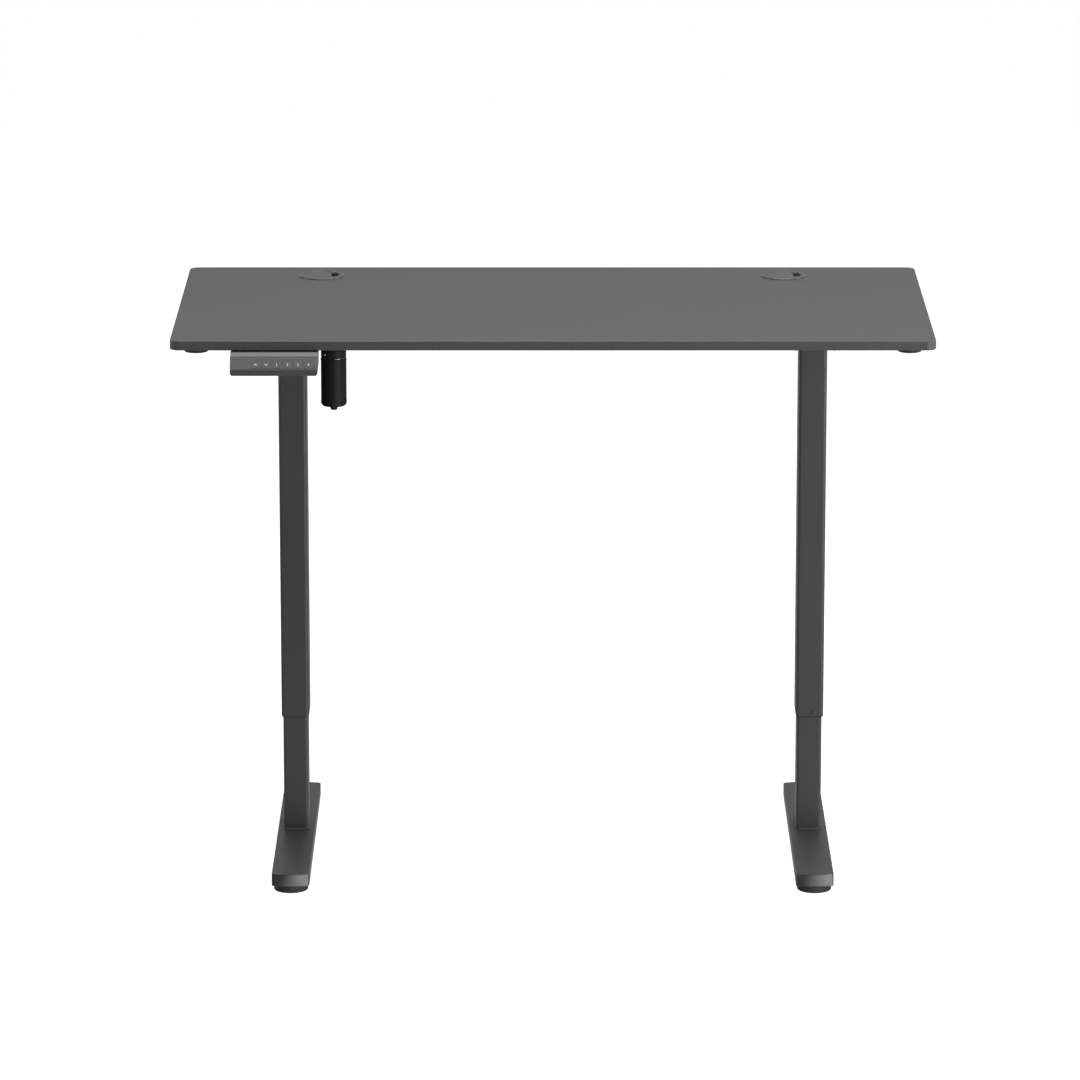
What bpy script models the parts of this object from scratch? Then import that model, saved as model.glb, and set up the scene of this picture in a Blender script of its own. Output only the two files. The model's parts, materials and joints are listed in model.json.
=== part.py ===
"""Height-adjustable standing desk with one motor, two telescopic columns and T-shaped feet.

Metres, +Z up, front towards -Y. The row's origin is the middle of the footprint on the floor. The
board's centre sits a little behind it, because the controller overhangs the front edge.
"""

import math

import bmesh
import bpy
from mathutils import Matrix, Vector

# ---------------------------------------------------------------- driving dimensions
FIT_GAP = 0.0003                      # between two pieces that touch

BOARD_WIDTH, BOARD_DEPTH, BOARD_THICK = 1.200, 0.600, 0.015
BOARD_TOP = 0.905                     # working height at rest
BOARD_CORNER_R, BOARD_EDGE_R = 0.015, 0.0015
BOARD_UNDER = BOARD_TOP - BOARD_THICK

KEYPAD_FRONT = 0.330                  # controller's front, ahead of the board's centre
BOARD_SHIFT = (KEYPAD_FRONT - BOARD_DEPTH / 2) / 2

COLUMN_X = 0.4195                     # column axes, left and right of the centre
UPPER_W, UPPER_D, UPPER_WALL, UPPER_R = 0.045, 0.070, 0.0012, 0.005
LOWER_W, LOWER_D, LOWER_WALL, LOWER_R = 0.040, 0.065, 0.0015, 0.004
UPPER_BOTTOM, UPPER_TOP = 0.2255, 0.847
LOWER_TOP = 0.600
LOWER_BASE = 0.006                    # plate welded in the foot of the lower tube
PLATE_THICK = 0.004                   # top plate welded on the upper tube
PLATE_W, PLATE_D, PLATE_BORE_R = 0.065, 0.124, 0.0165

FOOT_W, FOOT_FRONT, FOOT_BACK = 0.0603, 0.289, 0.251
FOOT_BOTTOM, FOOT_TOP = 0.0115, 0.03205
FOOT_SKIN = 0.0022                    # sheet the foot is pressed from
FOOT_BLOCK = 0.064                    # solid length at each end
FOOT_BOW = 0.0036                     # how far the middle of each end stands out
FOOT_CORNER_R, FOOT_EDGE_R = 0.004, 0.0012
BOLT_Y, BOLT_R, BOLT_HOLE_R = 0.020, 0.0040, 0.0045   # foot bolts, ahead of and behind the column's axis
PAD_R, PAD_INSET = 0.0275, 0.029      # levelling pad, and its axis from the foot's end
STUD_R, STUD_TOP = 0.004, 0.0265

GROMMET_X, GROMMET_Y = 0.380, 0.228
SLEEVE_R, FLANGE_R, CAP_R = 0.0307, 0.0375, 0.0292
SLOT_WIDTH, SLOT_DEPTH, SLOT_CORNER_R = 0.029, 0.0130, 0.003
SLOT_ANGLE = math.radians(3)          # direction of the cable slot at rest

DISC_R, DISC_THICK, DISC_INSET = 0.01925, 0.0086, 0.040

GEAR_W, GEAR_D = 0.060, 0.062
MOTOR_X, MOTOR_R = 0.3535, 0.021
MOTOR_BOTTOM, MOTOR_SEAM = 0.7362, 0.8153
ROD_Z, ROD_R = 0.868, 0.0046
SCREW_R, SCREW_BOTTOM, SCREW_TOP = 0.007, 0.290, 0.851

CHANNEL_W, CHANNEL_WALL, CHANNEL_ROOF, CHANNEL_LENGTH = 0.0656, 0.0025, 0.003, 0.380
CHANNEL_FULL, CHANNEL_TAPER = 0.100, 0.176   # half lengths at full height and to the taper's end
CHANNEL_END_HIGH = 0.0145             # its height there
RAIL_Y, RAIL_Z, RAIL_SIZE, RAIL_WALL = 0.080, 0.867, 0.030, 0.002
RAIL_OUTER_END, RAIL_INNER_START = 0.150, -0.100

KEYPAD_X, KEYPAD_W = 0.436, 0.1368    # its middle, left of the centre, and its width
KEYPAD_TILT = math.radians(58)        # of its face, from level
KEYPAD_FACE = 0.023                   # length of that face, down its slope
KEYPAD_LIP_TOP, KEYPAD_BOTTOM = 0.8654, 0.8557
KEYPAD_END_R, KEYPAD_EDGE_R = 0.0050, 0.0006   # its lower corners, and the edges of its two ends
KEYPAD_BACK, KEYPAD_ROOF_FRONT = -0.262, -0.302
KEY_NAMES = ("up", "down", "one", "two", "three", "memory")
KEY_PITCH, KEY_FIRST = 0.01645, 0.0403   # the first key's middle is measured from the left end
KEY_W, KEY_H, KEY_R = 0.0136, 0.0124, 0.0015
KEY_Y = -0.0023                       # keys and window, below the middle of the face

BOX_X, BOX_Y, BOX_FLOOR, BOX_WALL = (-0.050, 0.150), (0.112, 0.208), 0.8560, 0.0020
BOX_SOCKETS = ((-0.028, 0.020), (0.002, 0.014), (0.026, 0.014))   # (place along Y, width)

LEFT, RIGHT = -1, 1
SIDE_NAME = {LEFT: "left", RIGHT: "right"}
ROUND_STEPS = 32                      # sides of the larger round pieces


# ---------------------------------------------------------------- scene and shape helpers
def clear_scene():
    for item in list(bpy.data.objects):
        bpy.data.objects.remove(item, do_unlink=True)


def make_material(name, colour, roughness, metallic=0.0):
    made = bpy.data.materials.new(name)
    made.use_nodes = True
    shader = made.node_tree.nodes["Principled BSDF"]
    shader.inputs["Base Color"].default_value = (*colour, 1.0)
    shader.inputs["Roughness"].default_value = roughness
    shader.inputs["Metallic"].default_value = metallic
    made.diffuse_color = (*colour, 1.0)
    return made


def make_empty(name, location, parent=None, turn=(0.0, 0.0, 0.0)):
    made = bpy.data.objects.new(name, None)
    made.location = location
    made.rotation_euler = turn
    made.parent = parent
    bpy.context.scene.collection.objects.link(made)
    return made


def make_object(name, bm, finish, parent, location=(0, 0, 0), turn=(0, 0, 0)):
    """An object from a bmesh, facing out, with curved parts shaded smooth."""
    bmesh.ops.recalc_face_normals(bm, faces=bm.faces)
    mesh = bpy.data.meshes.new(name)
    bm.to_mesh(mesh)
    bm.free()
    mesh.shade_smooth()
    mesh.set_sharp_from_angle(angle=math.radians(35))
    if finish:
        mesh.materials.append(finish)
    made = bpy.data.objects.new(name, mesh)
    made.location = location
    made.rotation_euler = turn
    made.parent = parent
    bpy.context.scene.collection.objects.link(made)
    return made


def boolean(target, bm, operation="DIFFERENCE", turn=(0, 0, 0), location=(0, 0, 0)):
    """Cuts or joins a shape, placed in the target's own frame, with an exact Boolean."""
    name = f"{target.name}_tool_{len(target.modifiers)}"
    tool = make_object(name, bm, None, target, location, turn)
    tool.hide_render = True
    tool.display_type = "WIRE"
    step = target.modifiers.new(name, "BOOLEAN")
    step.operation = operation
    step.solver = "EXACT"
    step.object = tool


def rounded_outline(width, depth, radius, steps=4):
    """Corner points of a rectangle with round corners, about the origin."""
    points = []
    for quarter, (sx, sy) in enumerate(((1, 1), (-1, 1), (-1, -1), (1, -1))):
        cx, cy = sx * (width / 2 - radius), sy * (depth / 2 - radius)
        for i in range(steps + 1):
            angle = (quarter + i / steps) * math.pi / 2
            points.append((cx + radius * math.cos(angle), cy + radius * math.sin(angle)))
    return points


def bowed_outline(width, length, radius, bow, steps=3, bow_steps=8):
    """A rectangle with round corners whose two short ends stand out by bow, about the origin."""
    inner = width / 2 - radius
    sweep = 2 * math.atan(bow / inner)
    end_r = inner / math.sin(sweep) + radius
    corner_y, centre_y = length / 2 - bow - radius, length / 2 - end_r
    turns = [(math.pi / 2 - sweep) * i / steps for i in range(steps + 1)]
    right = [(inner + radius * math.cos(a), corner_y + radius * math.sin(a)) for a in turns]
    turns = [math.pi / 2 - sweep + 2 * sweep * i / bow_steps for i in range(1, bow_steps)]
    bowed = [(end_r * math.cos(a), centre_y + end_r * math.sin(a)) for a in turns]
    points = right + bowed + [(-x, y) for x, y in reversed(right)]
    return points + [(-x, -y) for x, y in points]


def circle_outline(radius, steps):
    return [
        (radius * math.cos(2 * math.pi * i / steps), radius * math.sin(2 * math.pi * i / steps))
        for i in range(steps)
    ]


def prism(outline, low, high, axis="Z"):
    """A bmesh: the outline raised from low to high along an axis."""
    place = {
        "X": lambda a, b, h: (h, a, b),
        "Y": lambda a, b, h: (a, h, b),
        "Z": lambda a, b, h: (a, b, h),
    }[axis]
    bm = bmesh.new()
    base = bm.faces.new([bm.verts.new(place(a, b, low)) for a, b in outline])
    raised = bmesh.ops.extrude_face_region(bm, geom=[base])["geom"]
    lift = Vector(place(0, 0, high - low))
    bmesh.ops.translate(bm, verts=[v for v in raised if isinstance(v, bmesh.types.BMVert)], vec=lift)
    bmesh.ops.recalc_face_normals(bm, faces=bm.faces)
    return bm


def block(low, high):
    """A bmesh box between two corners."""
    size = Vector(high) - Vector(low)
    middle = (Vector(high) + Vector(low)) / 2
    bm = bmesh.new()
    bmesh.ops.create_cube(bm, size=1.0, matrix=Matrix.Translation(middle) @ Matrix.Diagonal((*size, 1)))
    return bm


def turned(profile, steps, closed=False):
    """A bmesh turned about Z from (radius, height) points; closed joins the last to the first."""
    bm = bmesh.new()
    points = [bm.verts.new((r, 0, z)) for r, z in profile]
    pairs = list(zip(points, points[1:]))
    if closed:
        pairs.append((points[-1], points[0]))
    edges = [bm.edges.new(pair) for pair in pairs]
    bmesh.ops.spin(
        bm, geom=points + edges, cent=(0, 0, 0), axis=(0, 0, 1), angle=2 * math.pi, steps=steps
    )
    bmesh.ops.remove_doubles(bm, verts=bm.verts, dist=1e-6)
    bmesh.ops.dissolve_degenerate(bm, edges=bm.edges, dist=1e-7)
    bmesh.ops.recalc_face_normals(bm, faces=bm.faces)
    return bm


def rounded(bm, radius, steps, wanted):
    """Rounds the edges of a bmesh that wanted(edge) picks."""
    chosen = [edge for edge in bm.edges if wanted(edge)]
    bmesh.ops.bevel(
        bm, geom=chosen, offset=radius, segments=steps, profile=0.5, affect="EDGES", clamp_overlap=True
    )
    return bm


def edge_at(axis, value):
    """Picks the edges that lie in the plane where a coordinate has this value."""
    index = "XYZ".index(axis)

    def wanted(edge):
        return all(abs(v.co[index] - value) < 1e-6 for v in edge.verts)

    return wanted


# ---------------------------------------------------------------- finishes
def make_finishes():
    return {
        "board": make_material("board_laminate", (0.054, 0.054, 0.054), 0.50),
        "steel": make_material("powder_coat", (0.040, 0.040, 0.040), 0.45),
        "gear": make_material("gear_casting", (0.019, 0.019, 0.019), 0.50, 0.2),
        "motor": make_material("motor_black", (0.009, 0.009, 0.009), 0.48),
        "bright": make_material("bright_steel", (0.60, 0.60, 0.60), 0.30, 1.0),
        "plastic": make_material("black_plastic", (0.018, 0.018, 0.018), 0.45),
        "controller": make_material("controller_plastic", (0.065, 0.065, 0.065), 0.45),
        "window": make_material("display_window", (0.060, 0.060, 0.060), 0.42),
        "board_green": make_material("circuit_board", (0.020, 0.110, 0.045), 0.45),
        "rubber": make_material("black_rubber", (0.020, 0.020, 0.020), 0.70),
        "nylon": make_material("nylon", (0.030, 0.030, 0.030), 0.55),
        "brass": make_material("brass", (0.62, 0.46, 0.20), 0.35, 1.0),
    }


# ---------------------------------------------------------------- the top
def make_board(parent, finish):
    outline = rounded_outline(BOARD_WIDTH, BOARD_DEPTH, BOARD_CORNER_R, 6)
    bm = prism(outline, BOARD_UNDER, BOARD_TOP)
    rounded(bm, BOARD_EDGE_R, 2, lambda e: edge_at("Z", BOARD_UNDER)(e) or edge_at("Z", BOARD_TOP)(e))
    board = make_object("desktop", bm, finish["board"], parent)
    hole_r = SLEEVE_R + FIT_GAP
    for side in (LEFT, RIGHT):
        hole = prism(circle_outline(hole_r, ROUND_STEPS), BOARD_UNDER - 0.01, BOARD_TOP + 0.01)
        boolean(board, hole, location=(side * GROMMET_X, GROMMET_Y, 0))


def make_grommet(parent, finish, side):
    """A flange and sleeve in the board, and a cap with a cable slot that turns in it."""
    name = SIDE_NAME[side]
    place = (side * GROMMET_X, GROMMET_Y, 0)
    flange_low, flange_high = BOARD_TOP + FIT_GAP, BOARD_TOP + 0.0018
    seat_z, sleeve_in, seat_r = BOARD_TOP - 0.0008, SLEEVE_R - 0.0028, CAP_R + FIT_GAP
    profile = [
        (SLEEVE_R, flange_low),
        (FLANGE_R, flange_low),
        (FLANGE_R, flange_high - 0.0009),
        (FLANGE_R - 0.0012, flange_high),
        (seat_r + 0.0006, flange_high),
        (seat_r, flange_high - 0.0006),
        (seat_r, seat_z),
        (sleeve_in, seat_z),
        (sleeve_in, BOARD_UNDER - 0.001),
        (SLEEVE_R, BOARD_UNDER - 0.001),
    ]
    ring = turned(profile, ROUND_STEPS, closed=True)
    make_object(f"grommet_{name}", ring, finish["plastic"], parent, place)

    skirt_out = sleeve_in - FIT_GAP
    cap_low, cap_high = seat_z + FIT_GAP, flange_high - 0.0003
    cap_profile = [
        (0, cap_low),
        (skirt_out - 0.0015, cap_low),
        (skirt_out - 0.0015, BOARD_UNDER + 0.005),
        (skirt_out, BOARD_UNDER + 0.005),
        (skirt_out, cap_low),
        (CAP_R, cap_low),
        (CAP_R, cap_high - 0.0005),
        (CAP_R - 0.0005, cap_high),
        (0, cap_high),
    ]
    lid = turned(cap_profile, ROUND_STEPS)
    cap = make_object(f"grommet_cap_{name}", lid, finish["plastic"], parent, place)
    notch = rounded_outline(2 * SLOT_DEPTH, SLOT_WIDTH, SLOT_CORNER_R)
    slot = prism(notch, BOARD_UNDER - 0.01, BOARD_TOP + 0.01)
    bmesh.ops.translate(slot, verts=slot.verts, vec=(CAP_R, 0, 0))
    boolean(cap, slot, turn=(0, 0, SLOT_ANGLE))


def make_disc(parent, finish, side, end):
    """A rubber disc under one corner of the board, dished for its screw."""
    high = BOARD_UNDER - FIT_GAP
    low = high - DISC_THICK
    profile = [
        (0, high), (DISC_R, high), (DISC_R, low + 0.002), (DISC_R - 0.0018, low),
        (0.0065, low), (0.0045, low + 0.003), (0, low + 0.003),
    ]
    place = (side * (BOARD_WIDTH / 2 - DISC_INSET), end * (BOARD_DEPTH / 2 - DISC_INSET), 0)
    name = f"corner_disc_{SIDE_NAME[side]}_{'front' if end < 0 else 'rear'}"
    make_object(name, turned(profile, 24), finish["rubber"], parent, place)


# ---------------------------------------------------------------- frame under the board
def make_side_bracket(parent, finish, side):
    """A channel, open below, that sits over the gear unit and tapers towards its ends."""
    top, bottom = BOARD_UNDER - FIT_GAP, UPPER_TOP + FIT_GAP
    roof, end_low, half = top - CHANNEL_ROOF, top - CHANNEL_END_HIGH, CHANNEL_LENGTH / 2
    front = [
        (-half, top), (-half, roof), (-CHANNEL_TAPER, roof), (-CHANNEL_TAPER, end_low),
        (-CHANNEL_FULL, bottom),
    ]
    outline = front + [(-y, z) for y, z in reversed(front)]
    bm = prism(outline, -CHANNEL_W / 2, CHANNEL_W / 2, "X")
    bracket = make_object(
        f"side_bracket_{SIDE_NAME[side]}", bm, finish["steel"], parent,
        (side * COLUMN_X, 0, 0), (0, 0, 0 if side == LEFT else math.pi),
    )
    inside = CHANNEL_W / 2 - CHANNEL_WALL
    boolean(bracket, block((-inside, -half - 0.01, bottom - 0.01), (inside, half + 0.01, roof)))
    notch = GEAR_D / 2 - 0.004            # half the opening that the drive passes through
    boolean(bracket, block((inside - 0.01, -notch, bottom - 0.01), (CHANNEL_W, notch, roof)))


def make_rail(parent, finish, end):
    """A cross rail: an outer square tube with an inner one that slides in it for width."""
    name = "front" if end < 0 else "rear"
    reach = COLUMN_X - CHANNEL_W / 2 - FIT_GAP
    inner_size = RAIL_SIZE - 2 * RAIL_WALL - 2 * FIT_GAP
    place = (0, end * RAIL_Y, RAIL_Z)
    for label, size, low, high in (
        ("outer", RAIL_SIZE, -reach, RAIL_OUTER_END),
        ("inner", inner_size, RAIL_INNER_START, reach),
    ):
        outline = rounded_outline(size, size, 0.002, 2)
        rail = make_object(
            f"rail_{name}_{label}", prism(outline, low, high, "X"), finish["steel"], parent, place
        )
        hollow = rounded_outline(size - 2 * RAIL_WALL, size - 2 * RAIL_WALL, 0.001, 2)
        boolean(rail, prism(hollow, low - 0.01, high + 0.01, "X"))


# ---------------------------------------------------------------- drive
def make_gear_unit(parent, finish, side):
    """The casting on each column's head; the left one reaches out to carry the motor."""
    low, high = UPPER_TOP + FIT_GAP, BOARD_UNDER - CHANNEL_ROOF - 2 * FIT_GAP
    neck_r, neck_low = PLATE_BORE_R - 0.001, UPPER_TOP - 0.019
    outline = rounded_outline(GEAR_W, GEAR_D, 0.004, 2)
    unit = make_object(
        f"gear_unit_{SIDE_NAME[side]}", prism(outline, low, high), finish["gear"], parent,
        (side * COLUMN_X, 0, 0),
    )
    boolean(unit, prism(circle_outline(neck_r, 24), neck_low, low + 0.005), "UNION")
    inward = -side
    rod_span = (inward * -0.008, inward * 0.100)
    if side == LEFT:
        arm_end = COLUMN_X - MOTOR_X + MOTOR_R + 0.0025
        arm_half = GEAR_D / 2 - 0.006
        boolean(unit, block((GEAR_W / 3, -arm_half, low), (arm_end, arm_half, high)), "UNION")
    screw_bore = circle_outline(SCREW_R + 2 * FIT_GAP, 24)
    boolean(unit, prism(screw_bore, neck_low - 0.01, SCREW_TOP + 0.001))
    bore = prism(circle_outline(ROD_R + 0.0008, 24), min(rod_span), max(rod_span), "X")
    boolean(unit, bore, location=(0, 0, ROD_Z))


def make_motor(parent, finish):
    """The motor hangs from the left gear unit: a flange, a can and a rounded end cap."""
    place = (-MOTOR_X, 0, 0)
    flange_r, waist_r, seam_top = MOTOR_R - 0.0005, MOTOR_R - 0.0022, MOTOR_SEAM + 0.0008
    flange = [
        (0, UPPER_TOP), (flange_r, UPPER_TOP), (flange_r, seam_top + 0.0017), (waist_r, seam_top),
        (0, seam_top),
    ]
    body = make_object("motor_flange", turned(flange, ROUND_STEPS), finish["motor"], parent, place)
    cap_top = MOTOR_BOTTOM + 0.0062
    can = [
        (0, seam_top - FIT_GAP), (waist_r, seam_top - FIT_GAP), (MOTOR_R, MOTOR_SEAM - 0.0010),
        (MOTOR_R, cap_top + FIT_GAP), (0, cap_top + FIT_GAP),
    ]
    make_object("motor_can", turned(can, ROUND_STEPS), finish["motor"], parent, place)

    cap_r, bend, bearing_r, nub_low = MOTOR_R - 0.0003, 0.0050, 0.0140, MOTOR_BOTTOM - 0.0066
    cap = [(0, cap_top), (cap_r, cap_top)]
    for degrees in (0, 32, 65):
        angle = math.radians(degrees)
        cap.append((cap_r - bend * (1 - math.cos(angle)), cap_top - 0.0008 - bend * math.sin(angle)))
    cap += [
        (bearing_r, MOTOR_BOTTOM), (0.0062, MOTOR_BOTTOM - 0.0012), (0.0052, nub_low + 0.0012),
        (0.0038, nub_low), (0, nub_low),
    ]
    make_object("motor_end_cap", turned(cap, 24), finish["motor"], parent, place)

    around = math.radians(-90 - 43)       # left of the front
    screw_z, head_r, head_high, shank_r, shank_deep = 0.8232, 0.0028, 0.0014, 0.0014, 0.004
    start = flange_r + FIT_GAP
    head = [
        (0, head_high), (head_r * 0.6, head_high), (head_r, head_high * 0.35), (head_r, 0),
        (shank_r, 0), (shank_r, -shank_deep), (0, -shank_deep),
    ]
    lay = (0, math.pi / 2, around)
    place_screw = (
        -MOTOR_X + start * math.cos(around), start * math.sin(around), screw_z
    )
    make_object("motor_screw", turned(head, 10), finish["bright"], parent, place_screw, lay)
    hole = prism(circle_outline(shank_r + FIT_GAP, 10), MOTOR_R - 0.006, MOTOR_R + 0.004)
    boolean(body, hole, turn=lay, location=(0, 0, screw_z))


def make_rod(parent, finish):
    """The hexagonal rod that carries the drive from the left gear unit to the right one."""
    reach = COLUMN_X + 0.006
    rod = prism(circle_outline(ROD_R, 6), -reach, reach, "X")
    make_object("drive_rod", rod, finish["bright"], parent, (0, 0, ROD_Z))


def make_lead_screw(parent, finish, side):
    """The lead screw hangs from the gear unit and turns in the nut."""
    profile = [
        (0, SCREW_BOTTOM), (SCREW_R - 0.0015, SCREW_BOTTOM), (SCREW_R, SCREW_BOTTOM + 0.0015),
        (SCREW_R, SCREW_TOP), (0, SCREW_TOP),
    ]
    make_object(
        f"lead_screw_{SIDE_NAME[side]}", turned(profile, 16), finish["bright"], parent,
        (side * COLUMN_X, 0, 0),
    )


# ---------------------------------------------------------------- columns
def make_upper_column(parent, finish, side):
    """The outer tube with its welded top plate, the glide ring at its mouth and the ring's screw."""
    name = SIDE_NAME[side]
    place = (side * COLUMN_X, 0, 0)
    turn = (0, 0, 0 if side == RIGHT else math.pi)
    plate_low = UPPER_TOP - PLATE_THICK
    tube = make_object(
        f"upper_tube_{name}",
        prism(rounded_outline(UPPER_W, UPPER_D, UPPER_R, 3), UPPER_BOTTOM, plate_low + 0.001),
        finish["steel"], parent, place, turn,
    )
    plate = prism(rounded_outline(PLATE_W, PLATE_D, 0.004, 2), plate_low, UPPER_TOP)
    boolean(tube, plate, "UNION")
    inner_w, inner_d = UPPER_W - 2 * UPPER_WALL, UPPER_D - 2 * UPPER_WALL
    inner_r = UPPER_R - UPPER_WALL
    boolean(tube, prism(rounded_outline(inner_w, inner_d, inner_r, 3), UPPER_BOTTOM - 0.01, plate_low))
    boolean(tube, prism(circle_outline(PLATE_BORE_R, 24), plate_low - 0.01, UPPER_TOP + 0.01))

    lip_high = UPPER_BOTTOM - FIT_GAP
    lip_mid, lip_low = lip_high - 0.0008, lip_high - 0.0026
    draw_in = 0.0028                      # how much narrower the lip is at its mouth
    lip = rounded_outline(UPPER_W - 0.0004, UPPER_D - 0.0004, UPPER_R, 3)
    ring = make_object(
        f"glide_ring_{name}", prism(lip, lip_mid, lip_high), finish["nylon"], parent, place, turn
    )
    taper = prism(lip, lip_low, lip_mid + 0.0002)
    for vert in taper.verts:
        if vert.co.z < lip_mid:
            vert.co.x *= 1 - draw_in / UPPER_W
            vert.co.y *= 1 - draw_in / UPPER_D
    boolean(ring, taper, "UNION")
    sleeve_w, sleeve_d = inner_w - 2 * FIT_GAP, inner_d - 2 * FIT_GAP
    boolean(
        ring,
        prism(rounded_outline(sleeve_w, sleeve_d, inner_r - FIT_GAP, 3), lip_mid, UPPER_BOTTOM + 0.030),
        "UNION",
    )
    bore_w, bore_d = LOWER_W + 2 * FIT_GAP, LOWER_D + 2 * FIT_GAP
    boolean(
        ring,
        prism(rounded_outline(bore_w, bore_d, LOWER_R + FIT_GAP, 3), lip_low - 0.01, UPPER_BOTTOM + 0.04),
    )

    screw_x, screw_z, head_r, head_high, shank_r = 0.0060, UPPER_BOTTOM + 0.0058, 0.0034, 0.0010, 0.0016
    shank_end = -UPPER_WALL - 0.0002
    head = [
        (0, head_high), (head_r * 0.55, head_high), (head_r, head_high * 0.3), (head_r, 0),
        (shank_r, 0), (shank_r, shank_end), (0, shank_end),
    ]
    face = UPPER_D / 2 + FIT_GAP
    flip = 1 if side == RIGHT else -1
    make_object(
        f"glide_screw_{name}", turned(head, 12), finish["steel"], parent,
        (side * COLUMN_X + flip * screw_x, -flip * face, screw_z),
        (flip * math.pi / 2, 0, 0),
    )
    hole_end = UPPER_WALL + 0.0004 - UPPER_D / 2
    hole = prism(circle_outline(shank_r + FIT_GAP, 12), -UPPER_D / 2 - 0.01, hole_end, "Y")
    boolean(tube, hole, location=(screw_x, 0, screw_z))


def make_lower_column(parent, finish, side):
    """The inner tube with its welded base plate, the glide on its head and the spindle nut."""
    name = SIDE_NAME[side]
    place = (side * COLUMN_X, 0, 0)
    bottom = FOOT_TOP + FIT_GAP
    inner_w, inner_d = LOWER_W - 2 * LOWER_WALL, LOWER_D - 2 * LOWER_WALL
    inner_r = LOWER_R - LOWER_WALL
    tube = make_object(
        f"lower_tube_{name}",
        prism(rounded_outline(LOWER_W, LOWER_D, LOWER_R, 3), bottom, LOWER_TOP),
        finish["steel"], parent, place,
    )
    bore = rounded_outline(inner_w, inner_d, inner_r, 3)
    boolean(tube, prism(bore, bottom + LOWER_BASE, LOWER_TOP + 0.01))
    for end in (-1, 1):
        hole = prism(circle_outline(BOLT_HOLE_R, 12), bottom - 0.01, bottom + LOWER_BASE + 0.01)
        boolean(tube, hole, location=(0, end * BOLT_Y, 0))

    glide_low, glide_high = LOWER_TOP - 0.040, LOWER_TOP + 0.003
    out_w, out_d = UPPER_W - 2 * UPPER_WALL - 2 * FIT_GAP, UPPER_D - 2 * UPPER_WALL - 2 * FIT_GAP
    glide = make_object(
        f"inner_glide_{name}",
        prism(rounded_outline(out_w, out_d, UPPER_R - UPPER_WALL - FIT_GAP, 3), glide_low, glide_high),
        finish["nylon"], parent, place,
    )
    around = prism(
        rounded_outline(LOWER_W + 2 * FIT_GAP, LOWER_D + 2 * FIT_GAP, LOWER_R + FIT_GAP, 3),
        glide_low - 0.01, LOWER_TOP + FIT_GAP,
    )
    boolean(glide, around)
    boolean(glide, prism(bore, LOWER_TOP - 0.01, LOWER_TOP + 0.01))

    nut_w, nut_d = inner_w - 2 * FIT_GAP, inner_d - 2 * FIT_GAP
    nut = make_object(
        f"spindle_nut_{name}",
        prism(rounded_outline(nut_w, nut_d, inner_r, 3), LOWER_TOP - 0.030, LOWER_TOP - 0.005),
        finish["brass"], parent, place,
    )
    boolean(nut, prism(circle_outline(SCREW_R + 0.0005, 24), LOWER_TOP - 0.04, LOWER_TOP))


# ---------------------------------------------------------------- feet
def make_foot(parent, finish, side):
    """A foot pressed from sheet, open below, with a solid block at each end for the levelling pad."""
    name = SIDE_NAME[side]
    middle = (FOOT_BACK - FOOT_FRONT) / 2
    length = FOOT_BACK + FOOT_FRONT
    bm = prism(bowed_outline(FOOT_W, length, FOOT_CORNER_R, FOOT_BOW), FOOT_BOTTOM, FOOT_TOP)
    rounded(bm, FOOT_EDGE_R, 2, edge_at("Z", FOOT_TOP))
    foot = make_object(f"foot_{name}", bm, finish["steel"], parent, (side * COLUMN_X, middle, 0))
    half_w, half_l = FOOT_W / 2 - FOOT_SKIN, length / 2 - FOOT_BLOCK
    boolean(foot, block((-half_w, -half_l, FOOT_BOTTOM - 0.01), (half_w, half_l, FOOT_TOP - FOOT_SKIN)))
    for end in (-1, 1):
        bolt_hole = prism(circle_outline(BOLT_HOLE_R, 12), FOOT_BOTTOM, FOOT_TOP + 0.01)
        boolean(foot, bolt_hole, location=(0, end * BOLT_Y - middle, 0))
        stud_hole = prism(circle_outline(STUD_R + 0.0004, 16), FOOT_BOTTOM - 0.01, STUD_TOP + 0.0006)
        boolean(foot, stud_hole, location=(0, end * (length / 2 - PAD_INSET), 0))

    head_high = FOOT_TOP - FOOT_SKIN - FIT_GAP
    head_low, head_r, socket_r, socket_deep = head_high - 0.0055, 0.0068, 0.0033, 0.003
    bolt_top = FOOT_TOP + LOWER_BASE - 0.0008
    bolt = [
        (0, head_low + socket_deep), (socket_r - 0.0003, head_low + socket_deep), (socket_r, head_low),
        (head_r, head_low), (head_r, head_high), (BOLT_R, head_high), (BOLT_R, bolt_top), (0, bolt_top),
    ]
    for end in (-1, 1):
        make_object(
            f"foot_bolt_{name}_{'front' if end < 0 else 'rear'}", turned(bolt, 12),
            finish["bright"], parent, (side * COLUMN_X, end * BOLT_Y, 0),
        )


def make_pad(parent, finish, side, end):
    """A round levelling pad on a threaded stud."""
    high = FOOT_BOTTOM - FIT_GAP
    profile = [
        (0, 0), (PAD_R - 0.0020, 0), (PAD_R, 0.0024), (PAD_R, high - 0.0012),
        (PAD_R - 0.0012, high), (STUD_R, high), (STUD_R, STUD_TOP), (0, STUD_TOP),
    ]
    at_y = (-FOOT_FRONT + PAD_INSET) if end < 0 else (FOOT_BACK - PAD_INSET)
    name = f"levelling_pad_{SIDE_NAME[side]}_{'front' if end < 0 else 'rear'}"
    make_object(name, turned(profile, 28), finish["rubber"], parent, (side * COLUMN_X, at_y, 0))


# ---------------------------------------------------------------- controller
def keypad_points():
    """(y, z) of the top and the bottom of the controller's sloping face, from the board's centre."""
    bottom = Vector((-KEYPAD_FRONT, KEYPAD_LIP_TOP))
    top = bottom + KEYPAD_FACE * Vector((math.cos(KEYPAD_TILT), math.sin(KEYPAD_TILT)))
    return top, bottom


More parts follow.
